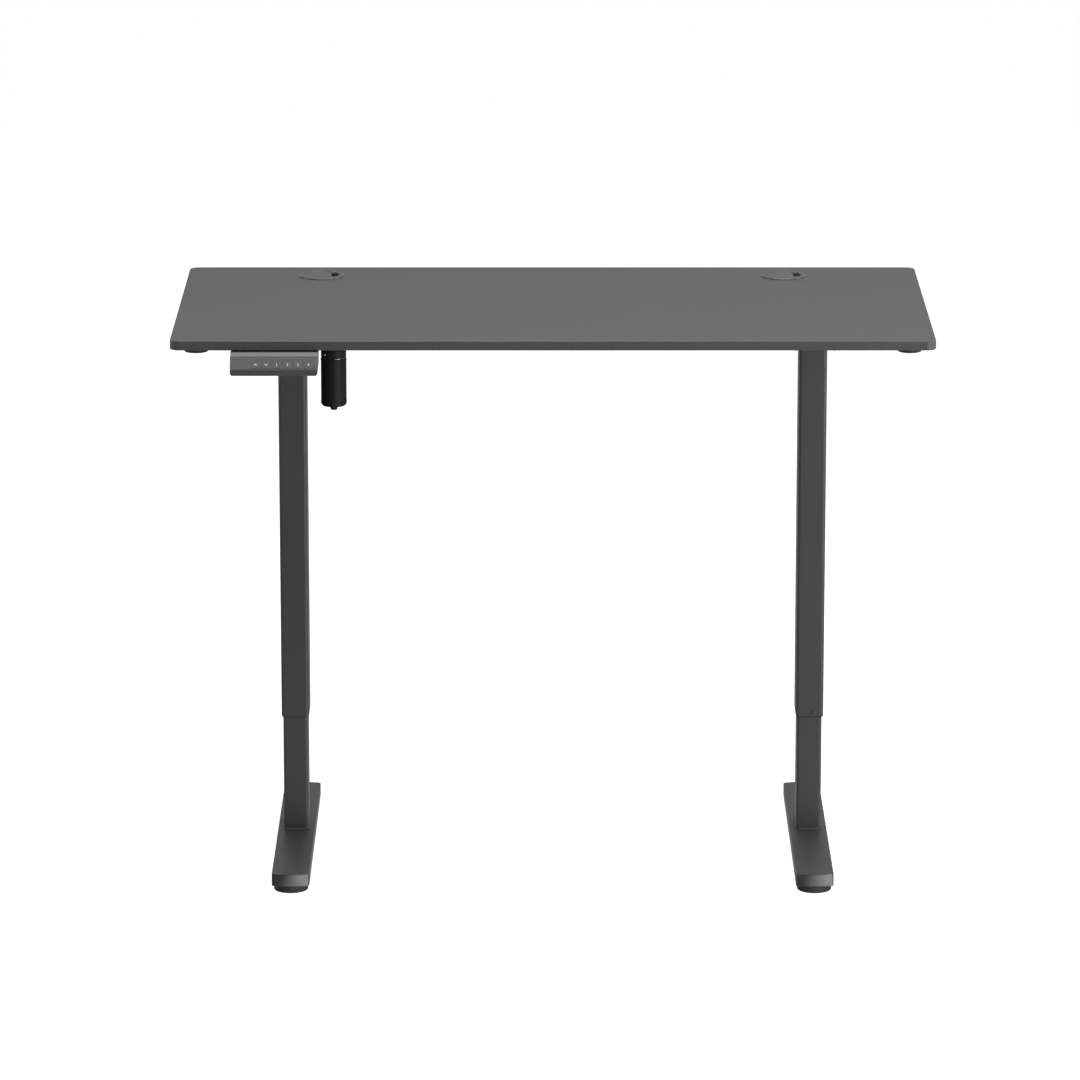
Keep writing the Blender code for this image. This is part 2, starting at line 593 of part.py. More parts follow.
def make_keypad(parent, finish):
    """The controller: housing, face plate, display window, circuit board and six keys."""
    top, bottom = keypad_points()
    back, roof, chamfer = KEYPAD_BACK, BOARD_UNDER - 0.002, 0.0012
    outline = [
        (back, roof), (KEYPAD_ROOF_FRONT, roof), (top.x, top.y), (bottom.x, bottom.y),
        (bottom.x, KEYPAD_BOTTOM + chamfer), (bottom.x + chamfer, KEYPAD_BOTTOM),
        (KEYPAD_ROOF_FRONT - 0.010, KEYPAD_BOTTOM), (back, KEYPAD_BOTTOM + 0.010),
    ]
    half = KEYPAD_W / 2
    bm = prism(outline, -half, half, "X")
    rounded(bm, KEYPAD_EDGE_R, 1, lambda e: edge_at("X", -half)(e) or edge_at("X", half)(e))
    housing = make_object("keypad_housing", bm, finish["controller"], parent, (-KEYPAD_X, 0, 0))
    high = BOARD_UNDER + 0.010            # keeps the outline's upper corners above the housing
    front_view = rounded_outline(KEYPAD_W, high - KEYPAD_BOTTOM, KEYPAD_END_R, 5)
    boolean(
        housing, prism(front_view, -KEYPAD_FRONT - 0.01, back + 0.01, "Y"), "INTERSECT",
        location=(0, 0, (high + KEYPAD_BOTTOM) / 2),
    )
    for side in (LEFT, RIGHT):
        tab = block((-0.016, back - 0.022, roof - 0.002), (0.016, back - 0.004, BOARD_UNDER - FIT_GAP))
        boolean(housing, tab, "UNION", location=(side * (half - 0.022), 0, 0))

    # In the face's own frame: x to the right, y up the slope, z out of the face.
    middle, lie = (top + bottom) / 2, (KEYPAD_TILT, 0, 0)
    face = make_empty("keypad_face", (-KEYPAD_X, *middle), parent, lie)
    at = (0, *middle)
    plate_w, plate_h, plate_thick = KEYPAD_W - 0.0100, KEYPAD_FACE - 0.0026, 0.0012
    pocket = rounded_outline(plate_w + 2 * FIT_GAP, plate_h + 2 * FIT_GAP, 0.0018, 3)
    boolean(housing, prism(pocket, -plate_thick, 0.01), turn=lie, location=at)
    well_w, well_h, well_deep = 0.1236, 0.0152, 0.0078
    well = prism(rounded_outline(well_w, well_h, 0.001, 2), -well_deep, 0.01)
    bmesh.ops.translate(well, verts=well.verts, vec=(0, KEY_Y, 0))
    boolean(housing, well, turn=lie, location=at)

    plate = make_object(
        "keypad_faceplate",
        prism(rounded_outline(plate_w, plate_h, 0.0015, 3), -plate_thick + FIT_GAP, 0.0),
        finish["controller"], face,
    )
    keys = [(KEY_FIRST + i * KEY_PITCH - KEYPAD_W / 2, name) for i, name in enumerate(KEY_NAMES)]
    key_hole = rounded_outline(KEY_W + 2 * FIT_GAP, KEY_H + 2 * FIT_GAP, KEY_R + FIT_GAP, 2)
    for x, _ in keys:
        boolean(plate, prism(key_hole, -0.01, 0.01), location=(x, KEY_Y, 0))
    screen_w, screen_h, screen_x = 0.0210, 0.0110, 0.0185 - KEYPAD_W / 2
    screen_hole = rounded_outline(screen_w + 2 * FIT_GAP, screen_h + 2 * FIT_GAP, 0.0010, 2)
    boolean(plate, prism(screen_hole, -0.01, 0.01), location=(screen_x, KEY_Y, 0))
    make_object(
        "keypad_display", prism(rounded_outline(screen_w, screen_h, 0.0008, 2), -0.0030, -0.0001),
        finish["window"], face, (screen_x, KEY_Y, 0),
    )
    make_object(
        "keypad_circuit_board",
        prism(rounded_outline(well_w - 0.0010, well_h - 0.0010, 0.0008, 2), -0.0074, -0.0058),
        finish["board_green"], face, (0, KEY_Y, 0),
    )
    key_low, key_proud = -0.0043, 0.0004
    for x, name in keys:
        bm = prism(rounded_outline(KEY_W, KEY_H, KEY_R, 2), key_low, key_proud)
        rounded(bm, 0.0003, 1, edge_at("Z", key_proud))
        make_object(f"key_{name}", bm, finish["controller"], face, (x, KEY_Y, 0))


# ---------------------------------------------------------------- control box
def make_control_box(parent, finish):
    """The supply and motor control under the board, behind the rear rail."""
    place = (sum(BOX_X) / 2, sum(BOX_Y) / 2, 0)
    width, depth = BOX_X[1] - BOX_X[0], BOX_Y[1] - BOX_Y[0]
    half_w, half_d, roof, corner_r = width / 2, depth / 2, BOARD_UNDER - FIT_GAP, 0.006
    cover_thick, ear, screw_hole_r = 0.0030, 0.014, 0.0024
    outline = rounded_outline(width, depth, corner_r, 2)
    bm = prism(outline, BOX_FLOOR, roof - cover_thick - FIT_GAP)
    rounded(bm, 0.0020, 2, edge_at("Z", BOX_FLOOR))
    housing = make_object("control_box_housing", bm, finish["plastic"], parent, place)
    hollow = rounded_outline(width - 2 * BOX_WALL, depth - 2 * BOX_WALL, corner_r - BOX_WALL, 2)
    boolean(housing, prism(hollow, BOX_FLOOR + BOX_WALL, roof + 0.01))
    socket_low, socket_high = BOX_FLOOR + 0.009, BOX_FLOOR + 0.021
    for at_y, socket_w in BOX_SOCKETS:
        mouth = block(
            (-half_w - 0.01, at_y - socket_w / 2, socket_low),
            (-half_w + BOX_WALL + 0.001, at_y + socket_w / 2, socket_high),
        )
        boolean(housing, mouth)
    cover_outline = rounded_outline(width + 2 * ear, depth, corner_r, 2)
    cover = make_object(
        "control_box_cover", prism(cover_outline, roof - cover_thick, roof), finish["plastic"], parent, place
    )
    for side in (LEFT, RIGHT):
        for end in (-1, 1):
            hole = prism(circle_outline(screw_hole_r, 8), roof - 0.01, roof + 0.01)
            boolean(cover, hole, location=(side * (half_w + ear / 2), end * depth * 0.32, 0))
    board = block(
        (0.008 - half_w, 0.006 - half_d, BOX_FLOOR + 0.0060),
        (half_w - 0.006, half_d - 0.006, BOX_FLOOR + 0.0076),
    )
    make_object("control_circuit_board", board, finish["board_green"], parent, place)


# ---------------------------------------------------------------- assembly
def make_desk():
    clear_scene()
    finish = make_finishes()
    centre = make_empty("desk_centre", (0, BOARD_SHIFT, 0))
    frame = make_empty("upper_frame", (0, 0, 0), centre)
    make_board(frame, finish)
    make_motor(frame, finish)
    make_rod(frame, finish)
    make_keypad(frame, finish)
    make_control_box(frame, finish)
    for end in (-1, 1):
        make_rail(frame, finish, end)
    for side in (LEFT, RIGHT):
        make_grommet(frame, finish, side)
        make_side_bracket(frame, finish, side)
        make_gear_unit(frame, finish, side)
        make_lead_screw(frame, finish, side)
        make_upper_column(frame, finish, side)
        base = make_empty(f"{SIDE_NAME[side]}_base", (0, 0, 0), centre)
        make_lower_column(base, finish, side)
        make_foot(base, finish, side)
        for end in (-1, 1):
            make_disc(frame, finish, side, end)
            make_pad(base, finish, side, end)


make_desk()
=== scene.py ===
import json
import math

import bmesh
import bpy
from mathutils import Matrix, Vector


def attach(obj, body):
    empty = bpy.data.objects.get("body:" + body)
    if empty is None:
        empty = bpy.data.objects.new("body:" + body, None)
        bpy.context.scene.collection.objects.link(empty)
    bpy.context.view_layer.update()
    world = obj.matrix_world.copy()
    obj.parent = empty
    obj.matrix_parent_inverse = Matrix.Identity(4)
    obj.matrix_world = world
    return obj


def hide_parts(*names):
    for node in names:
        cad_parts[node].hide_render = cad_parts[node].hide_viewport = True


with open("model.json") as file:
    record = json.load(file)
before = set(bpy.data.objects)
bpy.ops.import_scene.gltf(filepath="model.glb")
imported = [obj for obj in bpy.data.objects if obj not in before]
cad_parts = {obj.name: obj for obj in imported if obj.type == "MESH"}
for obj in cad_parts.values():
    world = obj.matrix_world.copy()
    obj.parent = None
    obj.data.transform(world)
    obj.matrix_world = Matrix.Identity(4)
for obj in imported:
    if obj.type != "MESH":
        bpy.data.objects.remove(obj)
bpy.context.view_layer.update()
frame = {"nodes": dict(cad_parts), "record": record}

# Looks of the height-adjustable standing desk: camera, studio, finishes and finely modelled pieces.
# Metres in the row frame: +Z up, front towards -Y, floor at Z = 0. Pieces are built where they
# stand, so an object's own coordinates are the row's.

RECORD = frame["record"]

# ---- dimensions shared with the part
FIT_GAP = 0.0003
BOARD_WIDTH, BOARD_DEPTH, BOARD_THICK, BOARD_TOP = 1.200, 0.600, 0.015, 0.905
BOARD_UNDER = BOARD_TOP - BOARD_THICK
BOARD_CORNER_R = 0.015
SHIFT = 0.015                         # the board's centre, behind the row's origin
COLUMN_X = 0.4195
UPPER = (0.045, 0.070, 0.0012, 0.005)  # width, depth, wall, corner radius
LOWER = (0.040, 0.065, 0.0015, 0.004)
UPPER_BOTTOM, UPPER_TOP, LOWER_TOP = 0.2255, 0.847, 0.600
PLATE = (0.065, 0.124, 0.004, 0.0165)  # width, depth, thickness, bore radius
FOOT_W, FOOT_FRONT, FOOT_BACK = 0.0603, 0.289, 0.251
FOOT_BOTTOM, FOOT_TOP, FOOT_SKIN, FOOT_BLOCK = 0.0115, 0.03205, 0.0022, 0.064
FOOT_BOW = 0.0036                     # how far the middle of each end stands out
FOOT_CORNER_R, FOOT_EDGE_R, BASE_BOLT_Y = 0.004, 0.0012, 0.020
PAD_R, PAD_INSET, STUD_TOP = 0.0275, 0.029, 0.0265
GROMMET_X, GROMMET_Y = 0.380, 0.228
SLEEVE_R, FLANGE_R, CAP_R = 0.0307, 0.0375, 0.0292
SLOT_WIDTH, SLOT_DEPTH, SLOT_CORNER_R, SLOT_ANGLE = 0.029, 0.0130, 0.003, math.radians(3)
DISC_R, DISC_THICK, DISC_INSET = 0.01925, 0.0086, 0.040
GEAR_W, GEAR_D, ROD_Z = 0.060, 0.062, 0.868
MOTOR_X, MOTOR_R, MOTOR_BOTTOM, MOTOR_SEAM, MOTOR_SCREW_Z = 0.3535, 0.021, 0.7362, 0.8153, 0.8232
CHANNEL_W, CHANNEL_WALL, CHANNEL_ROOF, CHANNEL_LENGTH = 0.0656, 0.0025, 0.003, 0.380
CHANNEL_FULL, CHANNEL_TAPER, CHANNEL_END_HIGH = 0.100, 0.176, 0.0145
RAIL_Y, RAIL_Z, RAIL_SIZE, RAIL_WALL = 0.080, 0.867, 0.030, 0.002
RAIL_OUTER_END, RAIL_INNER_START = 0.150, -0.100
KEYPAD_X, KEYPAD_W, KEYPAD_TILT = 0.436, 0.1368, math.radians(58)
KEYPAD_FRONT = 0.329998               # two micrometres behind the part's, so that it stays inside
KEYPAD_FACE, KEYPAD_LIP_TOP, KEYPAD_BOTTOM = 0.023, 0.8654, 0.8557
KEYPAD_END_R, KEYPAD_BACK, KEYPAD_ROOF_FRONT = 0.0050, -0.262, -0.302
KEY_NAMES = ("up", "down", "one", "two", "three", "memory")
KEY_PITCH, KEY_FIRST, KEY_W, KEY_H, KEY_R, KEY_Y = 0.01645, 0.0403, 0.0136, 0.0124, 0.0015, -0.0023
KEY_LOW, KEY_TOP = -0.0043, 0.0004    # out of the face
BOX_X, BOX_Y, BOX_FLOOR, BOX_WALL = (-0.050, 0.150), (0.112, 0.208), 0.8560, 0.0020
BOX_LID, BOX_LUG, SOCKET_HIGH, SOCKET_Z = 0.0030, 0.014, 0.012, 0.8710
BOX_SOCKETS = ((-0.028, 0.020), (0.002, 0.014), (0.026, 0.014))   # place along Y and width
SIDES = {"left": -1, "right": 1}
ENDS = {"front": -1, "rear": 1}
TURNED = 96                           # steps of a round piece
NEAR = 1e-6                           # how close two coordinates are that count as the same
PAST = 0.01                           # how far a cutting body runs on past what it cuts


# ---- camera
def make_camera():
    """The photograph's view, fitted to the corners of the top and to the feet."""
    data = bpy.data.cameras.new("camera")
    data.sensor_width, data.lens = 36.0, 203.593
    data.clip_start, data.clip_end = 0.1, 200.0
    camera = bpy.data.objects.new("camera", data)
    camera.location = (-0.020297, -9.633738, 2.863407)
    camera.rotation_euler = (math.radians(76.305345), 0, 0)
    bpy.context.scene.collection.objects.link(camera)
    bpy.context.scene.camera = camera


# ---- node helpers
class Tree:
    """The node tree of a new material, or of the world, and short ways to add to it."""

    def __init__(self, owner):
        owner.use_nodes = True
        self.owner, self.nodes, self.links = owner, owner.node_tree.nodes, owner.node_tree.links
        self.place = self.add("TexCoord", "Object", {})

    def feed(self, node, inputs):
        """Gives a node's inputs their values, or the outputs that they take."""
        for name, value in inputs.items():
            if isinstance(value, bpy.types.NodeSocket):
                self.links.new(value, node.inputs[name])
            else:
                node.inputs[name].default_value = value

    def add(self, kind, output, inputs, **settings):
        """One output of a new node with these inputs and settings."""
        node = self.nodes.new(f"ShaderNode{kind}")
        for key, value in settings.items():
            setattr(node, key, value)
        self.feed(node, inputs)
        return node.outputs[output]

    def show(self, shader):
        """Makes a shader's output the material's surface."""
        self.feed(self.nodes["Material Output"], {"Surface": shader})

    def noise(self, scale, rough, stretch=(1, 1, 1)):
        where = self.add("Mapping", "Vector", {"Scale": stretch, "Vector": self.place})
        inputs = {"Scale": scale, "Detail": 3.0, "Roughness": rough, "Vector": where}
        return self.add("TexNoise", "Fac", inputs)

    def spread(self, value, low, high, source=(0.3, 0.7), **settings):
        """Maps a value onto a range."""
        ends = {"From Min": source[0], "From Max": source[1], "To Min": low, "To Max": high}
        return self.add("MapRange", "Result", {"Value": value, **ends}, **settings)

    def between(self, factor, *colours):
        """A colour mixed between two by a factor."""
        first, second = ((*c, 1.0) if isinstance(c, tuple) else c for c in colours)
        return self.add("Mix", "Result", {"Factor": factor, "A": first, "B": second}, data_type="RGBA")

    def bump(self, height, strength, distance):
        return self.add("Bump", "Normal", {"Height": height, "Strength": strength, "Distance": distance})


# ---- finishes
def finish_of(name, dark, pale, roughness, grain, relief, metallic=0.0, specular=0.5, stretch=(1, 1, 1),
              cloud=6.0):
    """A finish with fine grain and slow drifts in colour, sheen and relief.

    dark and pale bound its colour (a number is a grey), roughness is a (low, high) pair, grain is
    the grain's scale per metre, and relief its depth in metres.
    """
    tree = Tree(bpy.data.materials.new(name))
    fine, drift = tree.noise(grain, 0.6, stretch), tree.noise(cloud, 0.5)
    blend = tree.add("Mix", "Result", {"Factor": DRIFT_SHARE, "A": fine, "B": drift}, data_type="FLOAT")
    shade = tree.spread(blend, 0.0, 1.0, (0.32, 0.68))
    ends = (colour if isinstance(colour, tuple) else (colour,) * 3 for colour in (dark, pale))
    tree.feed(tree.nodes["Principled BSDF"], {
        "Metallic": metallic, "Specular IOR Level": specular, "Base Color": tree.between(shade, *ends),
        "Roughness": tree.spread(blend, *roughness), "Normal": tree.bump(fine, 0.6, relief),
    })
    return tree.owner


DRIFT_SHARE = 0.35                    # of the slow drift in a finish, beside its fine grain
SATIN = {"specular": 0.4}
FINISH_TABLE = {                      # what finish_of takes, and what differs from its defaults
    "board_laminate": (0.0435, 0.0505, (0.46, 0.56), 1400, 0.00004, {"specular": 0.35, "cloud": 5}),
    "board_edge": (0.040, 0.046, (0.42, 0.52), 900, 0.00003, {**SATIN, "stretch": (0.25, 0.25, 1.0)}),
    "powder_coat": (0.0345, 0.0415, (0.40, 0.50), 850, 0.00006, SATIN),
    "gear_casting": (0.014, 0.024, (0.42, 0.58), 420, 0.00018, {"metallic": 0.2}),
    "motor_black": (0.007, 0.010, (0.52, 0.62), 260, 0.00002, {"specular": 0.20}),
    "bright_steel": (0.50, 0.66, (0.22, 0.34), 700, 0.00002, {"metallic": 1.0, "stretch": (1.0, 1.0, 0.06)}),
    "black_plastic": (0.030, 0.040, (0.36, 0.48), 1100, 0.00004, {}),
    "controller_plastic": (0.057, 0.065, (0.40, 0.50), 1700, 0.00003, SATIN),
    # The next two are paler and darker copies of controller_plastic: a painted highlight on the keypad's
    # ledge and painted shade on its upright lip.
    "controller_painted_highlight": (0.150, 0.165, (0.40, 0.50), 1700, 0.00003, SATIN),
    "controller_painted_shade": (0.039, 0.045, (0.40, 0.50), 1700, 0.00003, SATIN),
    "foot_end": (0.028, 0.038, (0.17, 0.23), 900, 0.00003, {"specular": 1.0, "stretch": (0.05, 0.05, 1.0)}),
    "nylon": (0.022, 0.032, (0.48, 0.60), 600, 0.00003, {}),
    "black_rubber": (0.016, 0.030, (0.55, 0.75), 900, 0.00008, {"specular": 0.35}),
    "brass": ((0.55, 0.39, 0.15), (0.72, 0.54, 0.24), (0.24, 0.40), 500, 0.00003, {"metallic": 1.0}),
    "key_print": (0.42, 0.50, (0.45, 0.55), 2200, 0.00001, {}),
    "grommet_plastic": (0.047, 0.055, (0.42, 0.52), 1300, 0.00003, {"specular": 0.35}),
    "grommet_rim": (0.050, 0.060, (0.14, 0.20), 1300, 0.00001, {"specular": 0.7}),
}


def circuit_finish():
    """Green lacquer over copper tracks, and soldered pads."""
    tree = Tree(bpy.data.materials.new("circuit_board"))
    tracks = tree.add("TexBrick", "Color", {
        "Scale": 190, "Mortar Size": 0.11, "Color1": (0.010, 0.085, 0.030, 1),
        "Color2": (0.014, 0.105, 0.040, 1), "Mortar": (0.020, 0.190, 0.075, 1), "Vector": tree.place,
    })
    dots = tree.add("TexVoronoi", "Distance", {"Scale": 240, "Vector": tree.place})
    solder = tree.spread(dots, 1.0, 0.0, (0.16, 0.22))
    tree.feed(tree.nodes["Principled BSDF"], {
        "Base Color": tree.between(solder, tracks, (0.62, 0.60, 0.55)), "Metallic": solder,
        "Roughness": tree.spread(solder, 0.42, 0.28, (0.0, 1.0)), "Normal": tree.bump(solder, 0.5, 0.0002),
    })
    return tree.owner


# ---- shape helpers
def rounded_outline(width, depth, radius, steps=10):
    points = []
    for quarter, (sx, sy) in enumerate(((1, 1), (-1, 1), (-1, -1), (1, -1))):
        cx, cy = sx * (width / 2 - radius), sy * (depth / 2 - radius)
        for i in range(steps + 1):
            angle = (quarter + i / steps) * math.pi / 2
            points.append((cx + radius * math.cos(angle), cy + radius * math.sin(angle)))
    return points


def circle_outline(radius, steps=TURNED):
    angles = [2 * math.pi * i / steps for i in range(steps)]
    return [(radius * math.cos(a), radius * math.sin(a)) for a in angles]


def prism(outline, low, high, axis="Z"):
    """A closed outline drawn out along an axis, between two heights on it."""
    place = {
        "X": lambda a, b, h: (h, a, b),
        "Y": lambda a, b, h: (a, h, b),
        "Z": lambda a, b, h: (a, b, h),
    }[axis]
    bm = bmesh.new()
    base = bm.faces.new([bm.verts.new(place(a, b, low)) for a, b in outline])
    raised = bmesh.ops.extrude_face_region(bm, geom=[base])["geom"]
    lift = Vector(place(0, 0, high - low))
    bmesh.ops.translate(bm, verts=[v for v in raised if isinstance(v, bmesh.types.BMVert)], vec=lift)
    bmesh.ops.recalc_face_normals(bm, faces=bm.faces)
    return bm


def rod(radius, low, high, steps=TURNED, axis="Z"):
    return prism(circle_outline(radius, steps), low, high, axis)


def slab(width, depth, radius, low, high, steps=10, axis="Z"):
    """A bar with a rounded rectangle for its section."""
    return prism(rounded_outline(width, depth, radius, steps), low, high, axis)


def block(low, high):
    """A box between two opposite corners."""
    size, middle = Vector(high) - Vector(low), (Vector(high) + Vector(low)) / 2
    bm = bmesh.new()
    bmesh.ops.create_cube(bm, size=1.0, matrix=Matrix.Translation(middle) @ Matrix.Diagonal((*size, 1)))
    return bm


def turned(profile, steps=TURNED, closed=False):
    """A body turned about Z from (radius, height) points."""
    bm = bmesh.new()
    points = [bm.verts.new((r, 0, z)) for r, z in profile]
    pairs = list(zip(points, points[1:]))
    if closed:
        pairs.append((points[-1], points[0]))
    edges = [bm.edges.new(pair) for pair in pairs]
    bmesh.ops.spin(bm, geom=points + edges, cent=(0, 0, 0), axis=(0, 0, 1), angle=2 * math.pi, steps=steps)
    bmesh.ops.remove_doubles(bm, verts=bm.verts, dist=NEAR)
    bmesh.ops.dissolve_degenerate(bm, edges=bm.edges, dist=1e-7)
    bmesh.ops.recalc_face_normals(bm, faces=bm.faces)
    return bm


def arc(centre, radius, start, end, steps=8):
    """(radius, height) points of an arc, its angles in degrees."""
    angles = [math.radians(start + (end - start) * i / steps) for i in range(steps + 1)]
    return [(centre[0] + radius * math.cos(a), centre[1] + radius * math.sin(a)) for a in angles]


def bevel(bm, radius, steps=3, wanted=None, angle=30):
    """Rounds the sharp edges of a body, or those that wanted(edge) picks among them."""
    bmesh.ops.remove_doubles(bm, verts=bm.verts, dist=1e-7)
    bm.normal_update()
    limit = math.radians(angle)
    chosen = [
        e for e in bm.edges
        if e.is_manifold and e.calc_face_angle(0) > limit and (wanted is None or wanted(e))
    ]
    bmesh.ops.bevel(bm, geom=chosen, offset=radius, segments=steps, profile=0.5, affect="EDGES",
                    clamp_overlap=True)
    return bm


def in_plane(axis, *values):
    """A test for the edges that lie in any of these planes across an axis."""
    index = "XYZ".index(axis)

    def wanted(edge):
        return any(all(abs(v.co[index] - value) < NEAR for v in edge.verts) for value in values)

    return wanted


def moved(bm, place=(0, 0, 0), turn=(0, 0, 0)):
    """The body turned (X, Y, Z angles) and then put in its place."""
    about_x, about_y, about_z = (Matrix.Rotation(turn[i], 4, "XYZ"[i]) for i in range(3))
    spin = about_z @ about_y @ about_x
    bmesh.ops.transform(bm, matrix=Matrix.Translation(place) @ spin, verts=bm.verts)
    return bm


def merged(*bodies):
    """One bmesh with the bodies of several."""
    whole = bmesh.new()
    for bm in bodies:
        mesh = bpy.data.meshes.new("part")
        bm.to_mesh(mesh)
        bm.free()
        whole.from_mesh(mesh)
        bpy.data.meshes.remove(mesh)
    return whole


def mesh_object(name, bm):
    mesh = bpy.data.meshes.new(name)
    bm.to_mesh(mesh)
    bm.free()
    made = bpy.data.objects.new(name, mesh)
    bpy.context.scene.collection.objects.link(made)
    return made


def cut(bm, *tools, operation="DIFFERENCE"):
    """The body with exact Booleans by other bodies applied to it."""
    target = mesh_object("cut_target", bm)
    others = []
    for i, tool in enumerate(tools):
        bmesh.ops.recalc_face_normals(tool, faces=tool.faces)
        others.append(mesh_object(f"cut_tool_{i}", tool))
        step = target.modifiers.new(f"cut_{i}", "BOOLEAN")
        step.operation, step.solver, step.object = operation, "EXACT", others[-1]
    bpy.context.view_layer.update()
    depsgraph = bpy.context.evaluated_depsgraph_get()
    result = bmesh.new()
    result.from_mesh(target.evaluated_get(depsgraph).to_mesh())
    for made in [target, *others]:
        mesh = made.data
        bpy.data.objects.remove(made)
        bpy.data.meshes.remove(mesh)
    bmesh.ops.remove_doubles(result, verts=result.verts, dist=NEAR)
    return result


def unsplit(bm):
    """The body with each flat side as one face. A Boolean can split a side differently in each run."""
    bmesh.ops.dissolve_limit(bm, angle_limit=0.001, verts=bm.verts, edges=bm.edges)
    return bm


def piece(name, bm, finish, stands_for=(), body="upper_frame", slot=None, smooth=35):
    """A finished piece: shaded, with its material, riding on a CAD body, in place of CAD nodes."""
    bmesh.ops.recalc_face_normals(bm, faces=bm.faces)
    made = mesh_object(name, bm)
    made.data.shade_smooth()
    made.data.set_sharp_from_angle(angle=math.radians(smooth))
    made.data.materials.append(FINISHES[finish])
    made.modifiers.new("flat_faces_stay_flat", "WEIGHTED_NORMAL").keep_sharp = True
    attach(made, body)
    if stands_for:
        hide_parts(*stands_for)
    slot = slot or finish
    return made


def screw_head(radius, high, recess, recess_deep=None):
    """A button head with a hexagonal socket, standing on Z = 0 and facing up."""
    deep = recess_deep or high * 0.6
    dome = [(0, high), (recess * 1.15, high)]
    dome += arc((radius - high * 0.8, 0.0002), high * 0.8, 80, 0, 6) + [(radius, 0), (0, 0)]
    return cut(turned(dome, 40), rod(recess, high - deep, high + PAST, 6))


def screws_below(name, places, radius, high, recess):
    """Screw heads of the upper frame, facing down."""
    heads = [moved(screw_head(radius, high, recess), place, (math.pi, 0, 0)) for place in places]
    piece(name, merged(*heads), "bright_steel")


# ---- the top
def build_board():
    half_w, half_d = BOARD_WIDTH / 2, BOARD_DEPTH / 2
    bm = slab(BOARD_WIDTH, BOARD_DEPTH, BOARD_CORNER_R, BOARD_UNDER, BOARD_TOP, 14)
    bevel(bm, 0.0015, 4, in_plane("Z", BOARD_UNDER, BOARD_TOP))
    holes = [
        moved(rod(SLEEVE_R + FIT_GAP, BOARD_UNDER - PAST, BOARD_TOP + PAST), (x, GROMMET_Y, 0))
        for x in (-GROMMET_X, GROMMET_X)
    ]
    board = piece("desktop_board", moved(cut(bm, *holes), (0, SHIFT, 0)), "board_laminate", ["desktop"])
    board.data.materials.append(FINISHES["board_edge"])
    rim = BOARD_CORNER_R + 0.003
    for face in board.data.polygons:      # the rim, and not the walls of the grommets' holes
        outside = abs(face.center.x) > half_w - rim or abs(face.center.y - SHIFT) > half_d - rim
        if abs(face.normal.z) < 0.55 and outside:
            face.material_index = 1


def build_grommet(name, sign):
    place = (sign * GROMMET_X, GROMMET_Y + SHIFT, 0)
    low, high = BOARD_TOP + FIT_GAP, BOARD_TOP + 0.0018
    seat_z, sleeve_in, seat_r = BOARD_TOP - 0.0008, SLEEVE_R - 0.0028, CAP_R + FIT_GAP
    profile = [(SLEEVE_R, low), (FLANGE_R, low)]
    profile += arc((FLANGE_R - 0.0013, low + 0.0002), 0.0013, 0, 90, 8)
    profile += arc((seat_r + 0.0006, high - 0.0006), 0.0006, 90, 180, 5)
    sleeve_end = BOARD_UNDER - 0.001
    profile += [(seat_r, seat_z), (sleeve_in, seat_z), (sleeve_in, sleeve_end), (SLEEVE_R, sleeve_end)]
    flange = piece(
        f"cable_grommet_{name}", moved(turned(profile, closed=True), place), "grommet_plastic",
        [f"grommet_{name}"], slot="black_plastic",
    )
    flange.data.materials.append(FINISHES["grommet_rim"])
    for face in flange.data.polygons:
        if 0.1 < face.normal.z < 0.97:
            face.material_index = 1

    skirt, skirt_end = sleeve_in - FIT_GAP, BOARD_UNDER + 0.005
    cap_low, cap_high = seat_z + FIT_GAP, high - 0.0003
    cap_profile = [(0, cap_low), (skirt - 0.0015, cap_low), (skirt - 0.0015, skirt_end), (skirt, skirt_end)]
    cap_profile += [(skirt, cap_low), (CAP_R, cap_low)]
    cap_profile += arc((CAP_R - 0.0006, cap_high - 0.0006), 0.0006, 0, 90, 5)
    cap_profile += [(CAP_R - 0.0030, cap_high), (CAP_R - 0.0033, cap_high - 0.0004), (0, cap_high - 0.0004)]
    slot = [(CAP_R + x, y) for x, y in rounded_outline(2 * SLOT_DEPTH, SLOT_WIDTH, SLOT_CORNER_R, 8)]
    slot = moved(prism(slot, BOARD_UNDER - PAST, BOARD_TOP + PAST), turn=(0, 0, SLOT_ANGLE))
    cap = cut(turned(cap_profile), slot)
    piece(
        f"grommet_lid_{name}", moved(cap, place), "grommet_plastic", [f"grommet_cap_{name}"],
        body=f"cap_{name}", slot="black_plastic",
    )


def build_disc(side, sign, end, sense):
    high = BOARD_UNDER - FIT_GAP
    low = high - DISC_THICK
    profile = [(0, high), (DISC_R - 0.0004, high), (DISC_R, high - 0.0004)]
    profile += arc((DISC_R - 0.0020, low + 0.0020), 0.0020, 0, -90, 6)
    profile += [(0.0082, low), (0.0074, low + 0.0005), (0.0064, low + 0.0026), (0, low + 0.0026)]
    place = (sign * (BOARD_WIDTH / 2 - DISC_INSET), sense * (BOARD_DEPTH / 2 - DISC_INSET) + SHIFT, 0)
    piece(
        f"rubber_disc_{side}_{end}", moved(turned(profile), place), "black_rubber",
        [f"corner_disc_{side}_{end}"],
    )
    screws_below(f"disc_screw_{side}_{end}", [(place[0], place[1], low + 0.0025)], 0.0048, 0.0018, 0.0018)


